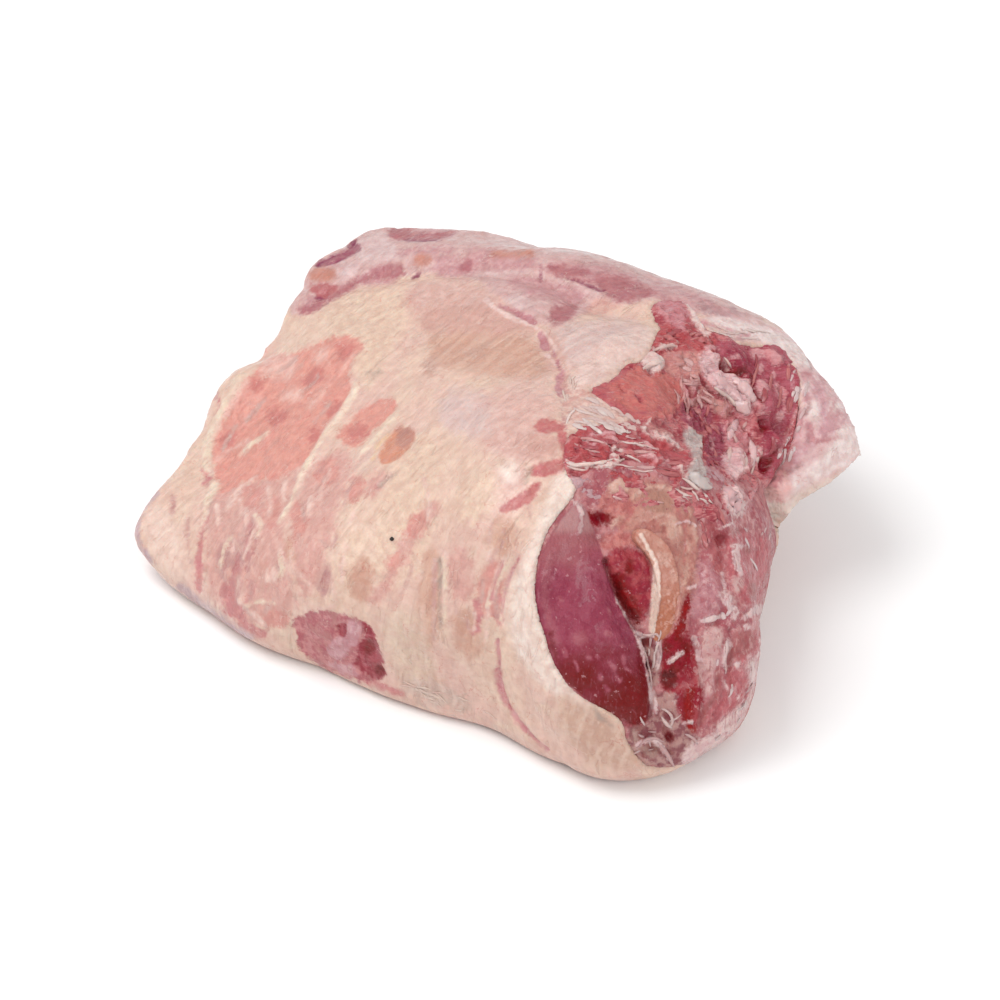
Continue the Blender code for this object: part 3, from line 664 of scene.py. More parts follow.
        area(364, 640, 374, 642, 372, 654, 362, 660), area(372, 664, 384, 668, 384, 678, 372, 676),
    ), (0.20, 0.0, 0.015), (0.28, 0.015, 0.03), 1.0, 1.2, -0.6),
    ("fold_light", (
        area(758, 482, 772, 476, 784, 474, 792, 486, 784, 502, 768, 506, 758, 498),
        area(742, 518, 754, 516, 764, 528, 756, 536, 745, 530),
    ), (0.93, 0.60, 0.57), (0.86, 0.50, 0.48), 1.4, 1.6, 0.1),
    ("side_meat", (
        area(744, 512, 758, 508, 768, 518, 780, 532, 790, 560, 780, 612, 774, 660, 758, 706, 736, 740,
            704, 764, 690, 758, 716, 736, 738, 700, 748, 660, 752, 620, 750, 570),
        area(740, 470, 760, 470, 776, 462, 790, 440, 796, 452, 786, 478, 764, 492, 744, 486),
    ), (0.62, 0.285, 0.29), (0.52, 0.20, 0.215), 1.4, 1.4, 0),
    ("side_pale", (
        area(746, 606, 762, 602, 764, 616, 750, 616), line(1.2, 762, 616, 764, 630, 761, 642),
        line(1.0, 764, 560, 766, 576, 764, 590),
    ), (0.78, 0.55, 0.54), (0.70, 0.44, 0.44), 0.8, 1.0, 0.3),
)
FAR_SIDE_LOSS = 42  # millimetres of reach lost as the surface turns fully away from the picture
TURN_ALLOWED = 0.02  # how far it may turn away before it loses any


def turned_loss(points, normals):
    """How much reach each place loses as the surface turns away from the picture."""
    return FAR_SIDE_LOSS * np.maximum(0, -facing(points, normals) - TURN_ALLOWED)


cover_seen = facing(block_points, block_normals)
cover_places = picture_places(block_points)
cover_turned = turned_loss(block_points, block_normals)
hidden = step(-cover_seen, TURN_ALLOWED, 0.30)
coarse = uneven(block_points, 9, 3)
fine = uneven(block_points, 3.2, 2, 7.0)

# On the sides that the picture doesn't show, lean and fat lie in long level layers. The strap
# muscle runs on along the back, above its foot.
STRAP_FOOT = 36  # millimetres over the table
STRAP_SIDE = 30  # millimetres behind the middle of the block
layers = uneven(block_points, (75, 24, 13), 3, 3.0)
strap_layers = uneven(block_points, (60, 12, 8), 3, 11.0)
dusky_layers = uneven(block_points, (50, 15, 7), 3, 17.0)
_, back, height = block_points.T / MM
on_strap = step(back, STRAP_SIDE - 10, STRAP_SIDE + 20) * step(height, STRAP_FOOT, STRAP_FOOT + 10)
not_hidden = FAR * (1 - hidden)
hidden_reach = {
    "salmon_film": 26 * (layers - 0.02) - not_hidden,
    "pink_film": 30 * (layers + 0.16) - not_hidden,
    "strap_muscle": np.minimum(height - STRAP_FOOT, back - STRAP_SIDE) + 4 * coarse - not_hidden,
    "strap_lean": 22 * (strap_layers - 0.10) - FAR * (1 - hidden * on_strap),
    "dusky_streak": 24 * (dusky_layers - 0.18) - not_hidden,
}

FLANK_TURN = math.radians(-16)  # which way the grain of the flank runs
flank_points = block_points @ np.array(Matrix.Rotation(-FLANK_TURN, 3, "Z")).T
flank_streaks = uneven(flank_points, (2.4, 20, 20), 2, 5.0)
cover_rise = 0.30 * uneven(block_points, 13, 3, 21.0) + 0.16 * fine + 0.16 * flank_streaks
for name, shapes, _, _, softness, raggedness, rise in FAT_SHOWS:
    inward = reach(cover_places, shapes) - cover_turned
    if name in hidden_reach:
        inward = np.maximum(inward, hidden_reach[name])
    inward = inward + raggedness * (0.5 * coarse + 0.45 * fine + 0.4 * flank_streaks)
    store(fat_cover.data, name, inward)
    cover_rise += rise * step(inward, -softness, softness)

OPENING_SINK = 5.0
OPENING_EDGE = 1.2  # half the width over which the fat sinks away, in millimetres
LIP_WIDTH = 2.5
LEVEL_FOOT = 0.009  # below this height the relief fades, so that the underside stays flat
RAY_LENGTH = 0.12  # metres, enough to pass the block


def laid_bare(inward, out):
    """How much of each place the cut takes in: what its face sees and no fold hides."""
    share = step(block_normals @ out, 0.10, 0.26)
    for number in np.flatnonzero((inward > -2) & (share > 0)):
        start = block_points[number] + (block_normals[number] + 0.5 * out) * MM
        if block_tree.ray_cast(Vector(start), Vector(out), RAY_LENGTH)[0]:
            share[number] = 0
    return share


for opening, way, lip_rise, frayed, lap in (
    (ARM_OPENING, ARM_WAY, 0.5, 0.4, 0.0), (NECK_OPENING, NECK_WAY, 0.2, 1.2, 0.7)
):
    inward = opening(cover_places) - cover_turned + frayed * (0.6 * coarse + 0.6 * fine) - lap
    cover_rise += lip_rise * np.exp(-(((inward + LIP_WIDTH) / LIP_WIDTH) ** 2))
    sunk = step(inward, -OPENING_EDGE, OPENING_EDGE) * laid_bare(inward, way_out(*way))
    cover_rise -= OPENING_SINK * sunk
table_fade = step(block_points[:, 2], 0.0, LEVEL_FOOT)
cover_points = block_points + block_normals * (cover_rise * table_fade * MM)[:, None]
cover_points[:, 2] = np.maximum(cover_points[:, 2], 0)
set_points(fat_cover.data, cover_points)


def set_inputs(tree, node, values):
    """Sets a node's inputs to values, or links them to sockets."""
    for key, value in values.items():
        if isinstance(value, bpy.types.NodeSocket):
            tree.links.new(value, node.inputs[key])
        else:
            node.inputs[key].default_value = value
    return node


def add_node(tree, kind, values, **settings):
    """A shader node with its inputs and its settings."""
    made = tree.nodes.new("ShaderNode" + kind)
    for name, setting in settings.items():
        setattr(made, name, setting)
    return set_inputs(tree, made, values)


def calculate(tree, operation, *numbers):
    return add_node(tree, "Math", dict(enumerate(numbers)), operation=operation).outputs[0]


def times(tree, first, second):
    return calculate(tree, "MULTIPLY", first, second)


def times_plus(tree, first, second, added):
    return calculate(tree, "MULTIPLY_ADD", first, second, added)


# Colours are written as they look in this light. The surface is darker by the light's strength,
# and by the pale glare that the wet film lays over it.
LIGHT_STRENGTH = 1.2
FILM_GLARE = 0.024


def surface_colour(look):
    return (*(max(0.003, (part - FILM_GLARE) / LIGHT_STRENGTH) for part in look), 1)


def blend(tree, share, below, above):
    """The colour above laid over the colour below by a share."""
    colours = {6: below, 7: above}
    for key, colour in colours.items():
        if isinstance(colour, tuple):
            colours[key] = surface_colour(colour)
    return add_node(tree, "Mix", {0: share, **colours}, data_type="RGBA").outputs[2]


def lay(tree, below, mask, strength, above):
    """The colour above laid over the colour below by a mask, thinned to a strength."""
    return blend(tree, times(tree, mask, strength), below, above)


def object_places(tree):
    return add_node(tree, "TexCoord", {}).outputs["Object"]


def clouds(tree, places, size, detail=2.0, roughness=0.5):
    """Random clouds with swells of that size in millimetres, from 0 to 1."""
    values = {"Vector": places, "Scale": 1 / (size * MM), "Detail": detail, "Roughness": roughness}
    return add_node(tree, "TexNoise", values).outputs[0]


def fibres(tree, places, sizes, detail, distortion, turn=0.0, roughness=0.5):
    """Wavy streaks of those sizes in millimetres, turned about the upright axis, from 0 to 1."""
    values = {"Vector": places, "Rotation": (0, 0, turn), "Scale": tuple(size * MM for size in sizes)}
    stretched = add_node(tree, "Mapping", values, vector_type="TEXTURE").outputs[0]
    values = {"Vector": stretched, "Scale": 1.0, "Detail": detail, "Roughness": roughness}
    return add_node(tree, "TexNoise", {**values, "Distortion": distortion}).outputs[0]


def smooth_band(tree, value, low, high):
    """0 below low, 1 above high, and a smooth step in between."""
    values = {"Value": value, "From Min": low, "From Max": high}
    return add_node(tree, "MapRange", values, interpolation_type="SMOOTHSTEP").outputs[0]


def thin_lines(tree, field, middle, width):
    """Thin winding lines, 1 on the line: where a field of clouds passes a middle value."""
    off = calculate(tree, "ABSOLUTE", calculate(tree, "SUBTRACT", field, middle))
    return calculate(tree, "SUBTRACT", 1.0, smooth_band(tree, off, 0.0, width))


def attribute(tree, name):
    return add_node(tree, "Attribute", {}, attribute_name=name).outputs["Fac"]


def new_group(name, inputs, outputs):
    """A shader node group with its named number inputs and outputs."""
    tree = bpy.data.node_groups.new(name, "ShaderNodeTree")
    for way, sockets in (("INPUT", inputs), ("OUTPUT", outputs)):
        for socket in sockets:
            tree.interface.new_socket(socket, in_out=way, socket_type="NodeSocketFloat")
    return tree, tree.nodes.new("NodeGroupInput").outputs, tree.nodes.new("NodeGroupOutput").inputs


def use_group(tree, group, values):
    return add_node(tree, "Group", values, node_tree=group).outputs


# Edge of a patch that shows: crisp or soft, and frayed by fine clouds.
frayed_edge, given, given_back = new_group(
    "frayed_edge", ("Reach", "Softness", "Fray", "Clouds"), ("Mask",)
)
centred = calculate(frayed_edge, "SUBTRACT", given["Clouds"], 0.5)
frayed = times_plus(frayed_edge, centred, given["Fray"], given["Reach"])
low_end = times(frayed_edge, given["Softness"], -1.0)
mask = smooth_band(frayed_edge, frayed, low_end, given["Softness"])
frayed_edge.links.new(mask, given_back["Mask"])

# Wet film on meat: gloss that comes and goes, and the fine unevenness that breaks up its lights.
wet_film, given, given_back = new_group(
    "wet_film", ("Gloss", "Grain Height", "Relief"), ("Roughness", "Coat Weight", "Height")
)
film_places = object_places(wet_film)
pools = clouds(wet_film, film_places, 6, 3)
beads = clouds(wet_film, film_places, 1.3, 3)
grain = clouds(wet_film, film_places, 0.5, 2)
wet = smooth_band(wet_film, pools, 0.38, 0.66)
roughness = times_plus(wet_film, wet, -0.22, 0.56)
roughness = times_plus(wet_film, given["Gloss"], -0.16, roughness)
wet_film.links.new(roughness, given_back["Roughness"])
coat = times_plus(wet_film, wet, 0.65, 0.2)
coat = times(wet_film, coat, given["Gloss"])
wet_film.links.new(coat, given_back["Coat Weight"])
relief = times_plus(wet_film, grain, 0.35, beads)
relief = times_plus(wet_film, relief, given["Grain Height"], given["Relief"])
wet_film.links.new(relief, given_back["Height"])

# How deep light goes into meat and fat: its share, its reach, and how far red, green and blue go.
SUBSURFACE = {
    "Subsurface Weight": 0.22, "Subsurface Scale": 0.004, "Subsurface Radius": (1.0, 0.42, 0.28),
}


def plain_material(name, settings):
    """A material, its tree, and its shader with some settings."""
    material = bpy.data.materials.new(name)
    material.use_nodes = True
    tree = material.node_tree
    return material, tree, set_inputs(tree, tree.nodes["Principled BSDF"], settings)


def meat_material(name, specular, coat_roughness):
    """A material for flesh or fat, its tree and its shader."""
    film = {"Specular IOR Level": specular, "Coat Roughness": coat_roughness}
    return plain_material(name, {**SUBSURFACE, **film})


def finish_meat(tree, shader, colour, gloss, grain_height, relief):
    """Joins the colour and the wet film to the shader."""
    film = use_group(tree, wet_film, {"Gloss": gloss, "Grain Height": grain_height, "Relief": relief})
    bump = add_node(tree, "Bump", {"Height": film["Height"], "Distance": MM, "Strength": 1.0})
    set_inputs(tree, shader, {
        "Base Color": colour, "Roughness": film["Roughness"], "Coat Weight": film["Coat Weight"],
        "Normal": bump.outputs[0],
    })


def wear(piece, material):
    """Gives a piece its material and its body."""
    piece.data.materials.clear()
    piece.data.materials.append(material)
    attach(piece, "root")


FRAY = 2.2  # how much wilder an edge is in its colour than in its relief


def patch_mask(tree, name, softness, fray, edge_clouds):
    """The mask of a patch, from the reach that the mesh carries under its name."""
    values = {"Reach": attribute(tree, name), "Softness": softness, "Fray": fray, "Clouds": edge_clouds}
    return use_group(tree, frayed_edge, values)["Mask"]


def lay_shows(tree, colour, shows, streaks, edge_clouds, thinning=1.0):
    """Lays every patch of a table over a colour."""
    for name, _, first, second, softness, raggedness, _ in shows:
        mask = patch_mask(tree, name, float(softness), raggedness * FRAY, edge_clouds)
        colour = lay(tree, colour, mask, thinning, blend(tree, streaks, first, second))
    return colour


def tinted(tree, colour, share, first, second):
    """The colour times a tint that goes from the first to the second with the share."""
    tints = {0: share, 6: (*first, 1), 7: (*second, 1)}
    tint = add_node(tree, "Mix", tints, data_type="RGBA").outputs[2]
    both = {0: 1.0, 6: colour, 7: tint}
    return add_node(tree, "Mix", both, data_type="RGBA", blend_type="MULTIPLY").outputs[2]


FAT = (0.765, 0.555, 0.45)
PINK_FAT = (0.755, 0.51, 0.44)
ROSY_FAT = (0.72, 0.44, 0.385)
CREAM_FAT = (0.80, 0.615, 0.49)
PALE_THREAD = (0.83, 0.65, 0.57)

# Cream and pink fat in wide clouds, with all that shows in it laid over. Then come the grain of
# the flank, its creases with painted shade in them, pale threads and fine veins.
fat_material, tree, shader = meat_material("fat", 0.34, 0.2)
places = object_places(tree)
streak_clouds = fibres(tree, places, (3.0, 13, 13), 2.0, 0.5, FLANK_TURN)
fibre_clouds = fibres(tree, places, (1.3, 4.5, 4.5), 2.0, 0.6, FLANK_TURN)
wide_clouds = clouds(tree, places, 30, 4)
mid_clouds = clouds(tree, places, 8, 3)
small_clouds = clouds(tree, places, 3.2, 3)
edge_clouds = clouds(tree, places, 1.8, 3)
colour = blend(tree, smooth_band(tree, wide_clouds, 0.36, 0.62), FAT, PINK_FAT)
rosy_streaks = smooth_band(tree, streak_clouds, 0.50, 0.66)
rosy = times(tree, rosy_streaks, smooth_band(tree, mid_clouds, 0.40, 0.60))
colour = lay(tree, colour, rosy, 0.5, ROSY_FAT)
colour = lay(tree, colour, smooth_band(tree, mid_clouds, 0.56, 0.68), 0.5, CREAM_FAT)
half_streaks = times(tree, streak_clouds, 0.35)
half_spots = times_plus(tree, edge_clouds, 0.3, half_streaks)
tone_clouds = times_plus(tree, small_clouds, 0.35, half_spots)
tone = smooth_band(tree, tone_clouds, 0.42, 0.58)
thinning = times_plus(tree, smooth_band(tree, small_clouds, 0.66, 0.50), 0.2, 0.8)
colour = lay_shows(tree, colour, FAT_SHOWS, tone, edge_clouds, thinning)
for streaks, low, high, first_tint, second_tint in (
    (streak_clouds, 0.34, 0.66, (0.955, 0.92, 0.915), (1.04, 1.055, 1.05)),
    (small_clouds, 0.34, 0.66, (1.04, 1.055, 1.05), (0.955, 0.93, 0.925)),
    (fibre_clouds, 0.32, 0.68, (0.985, 0.97, 0.97), (1.015, 1.025, 1.025)),
):
    colour = tinted(tree, colour, smooth_band(tree, streaks, low, high), first_tint, second_tint)
# Thin creases: sunk in the relief, with painted shade darkening the colour in them.
creases = thin_lines(tree, streak_clouds, 0.47, 0.02)
creases = times(tree, creases, smooth_band(tree, mid_clouds, 0.50, 0.60))
colour = tinted(tree, colour, creases, (1, 1, 1), (0.94, 0.87, 0.86))
winding = thin_lines(tree, clouds(tree, places, 9, 3.0, 0.55), 0.5, 0.010)
winding = times(tree, winding, smooth_band(tree, mid_clouds, 0.50, 0.58))
colour = lay(tree, colour, winding, 0.4, PALE_THREAD)
veins = thin_lines(tree, clouds(tree, places, 12, 4.0, 0.55), 0.5, 0.007)
veins = times(tree, veins, smooth_band(tree, mid_clouds, 0.48, 0.42))
colour = tinted(tree, colour, veins, (1, 1, 1), (0.90, 0.70, 0.70))
gloss = times_plus(tree, smooth_band(tree, wide_clouds, 0.4, 0.7), 0.25, 0.18)
ribs = times_plus(tree, streak_clouds, 0.75, times(tree, fibre_clouds, 0.1))
ribs = times_plus(tree, small_clouds, 0.9, ribs)
ribs = times_plus(tree, creases, -0.12, ribs)
finish_meat(tree, shader, colour, gloss, 0.12, ribs)
wear(fat_cover, fat_material)
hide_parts("shoulder")


# Arm cut
# The smooth face left by the knife where the foreleg was taken off: a big dark muscle in the fat
# lip, a small red one beside the bone, fatty tissue over the bone and marbled meat right of it.
ARM_MIDDLE_PIXEL = (655, 630)
ARM_REACH = (0.062, 0.056)  # to either side and up or down, in metres
CUT_STEP = 0.5 * MM
RAY_START = 0.05  # metres over the block
BONE_RAY = 0.02  # metres over the bone's end, and as far below it
OFF_PICTURE = -1e6
TUCK = 3.0  # how far a cut's border runs on under the fat, in millimetres
LONGEST_SIDE = 4 * MM  # of a face of a cut: a longer one would hang between two folds


def camera_ray(pixel):
    """The direction from the camera through a place in the picture."""
    x, y = (pixel[0] - PICTURE_SIDE / 2) / FOCAL_PIXELS, (PICTURE_SIDE / 2 - pixel[1]) / FOCAL_PIXELS
    return Vector(-to_camera + camera_right * x + camera_up * y).normalized()


def cut_grid(middle_pixel, way, out, reaches):
    """Places of the block's surface on an even grid that faces the way a cut does."""
    right = np.array((-math.sin(way[0]), math.cos(way[0]), 0))
    up = np.cross(out, right)
    middle = np.array(block_tree.ray_cast(Vector(camera_place), camera_ray(middle_pixel))[0])
    across, upward = (np.arange(-half, half, CUT_STEP) for half in reaches)
    points = np.full((len(upward), len(across), 3), np.nan)
    for row, rise in enumerate(upward):
        for column, run in enumerate(across):
            start = middle + right * run + up * rise + out * RAY_START
            hit = block_tree.ray_cast(Vector(start), Vector(-out), RAY_LENGTH)
            if hit[0]:
                points[row, column] = hit[0]
    return points


def grid_piece(name, points, kept):
    """A piece made of the kept part of a grid, without the faces that would hang between folds."""
    rows, columns = kept.shape
    numbers = np.full((rows, columns), -1)
    numbers[kept] = np.arange(kept.sum())
    corners = [numbers[:-1, :-1], numbers[:-1, 1:], numbers[1:, 1:], numbers[1:, :-1]]
    faces = np.stack(corners, axis=-1).reshape(-1, 4)
    faces = faces[(faces >= 0).all(axis=1)]
    sides = points[kept][faces] - points[kept][np.roll(faces, 1, axis=1)]
    faces = faces[np.linalg.norm(sides, axis=2).max(axis=1) < LONGEST_SIDE]
    mesh = bpy.data.meshes.new(name)
    mesh.from_pydata(points[kept].tolist(), [], faces.tolist())
    mesh.shade_smooth()
    return add_piece(name, mesh)


def finder_of(points):
    """A tree of points, to find the nearest one."""
    finder = KDTree(len(points))
    for number, place in enumerate(points):
        finder.insert(place, number)
    finder.balance()
    return finder


def cut_piece(name, opening, middle_pixel, way, reaches):
    """The meat that fills an opening of the fat.

    It gives the piece, its points, where they show, what reach they lose by turning away from the
    picture, and the way the cut faces.
    """
    out = way_out(*way)
    points = cut_grid(middle_pixel, way, out, reaches)
    kept = ~np.isnan(points[..., 0])
    places = np.full((*kept.shape, 2), OFF_PICTURE)
    places[kept] = picture_places(points[kept])
    finder = finder_of(block_points)
    normals = block_normals[[finder.find(place)[1] for place in points[kept]]]
    lost = np.zeros(kept.shape)
    lost[kept] = turned_loss(points[kept], normals)
    kept &= opening(places.reshape(-1, 2)).reshape(kept.shape) - lost > -TUCK
    return grid_piece(name, points, kept), points[kept], places[kept], lost[kept], out


def store_reaches(mesh, shows, places, lost, frays):
    """How far inside each patch every place is, kept on the mesh under the patch's name."""
    reaches = {}
    for name, shapes, _, _, _, raggedness, _ in shows:
        reaches[name] = reach(places, shapes) - lost + raggedness * frays
        store(mesh, name, reaches[name])
    return reaches


def patch_rise(shows, reaches):
    """How far the patches stand over the cut or sink into it, in millimetres."""
    return sum(rise * step(reaches[name], -softness, softness) for name, _, _, _, softness, _, rise in shows)


def pits(places, spots):
    """How deep the pits go: each has its place in the picture, and its depth and radius in mm."""
    sunk = np.zeros(len(places))
    for spot, depth, radius in spots:
        gap = np.linalg.norm(places - spot, axis=1) / PIXELS_PER_MM
        sunk += depth * np.exp(-((gap / radius) ** 2))
    return sunk


def bulge(inward, height, run):
    """A rounded rise inside an outline."""
    return height * (1 - np.exp(-np.maximum(inward, 0) / run))


def groove(places, depth, width, *corners):
    """A furrow along a line of the picture."""
    gap = -line(0, *corners)(places)
    return -depth * np.exp(-((gap / width) ** 2))


def bone_reach(points, out):
    """How far inside the bone's end each place on the cut is, in millimetres."""
    bone_tree = tree_of(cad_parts["blade_bone"])
    is_bone = np.array(
        [
            bone_tree.ray_cast(Vector(p + out * BONE_RAY), Vector(-out), 2 * BONE_RAY)[0] is not None
            for p in points
        ]
    )
    inward = np.zeros(len(points))
    for side, sign in ((is_bone, 1), (~is_bone, -1)):
        others = finder_of(points[~side])
        inward[side] = sign * np.array([others.find(place)[2] for place in points[side]]) / MM
    return inward


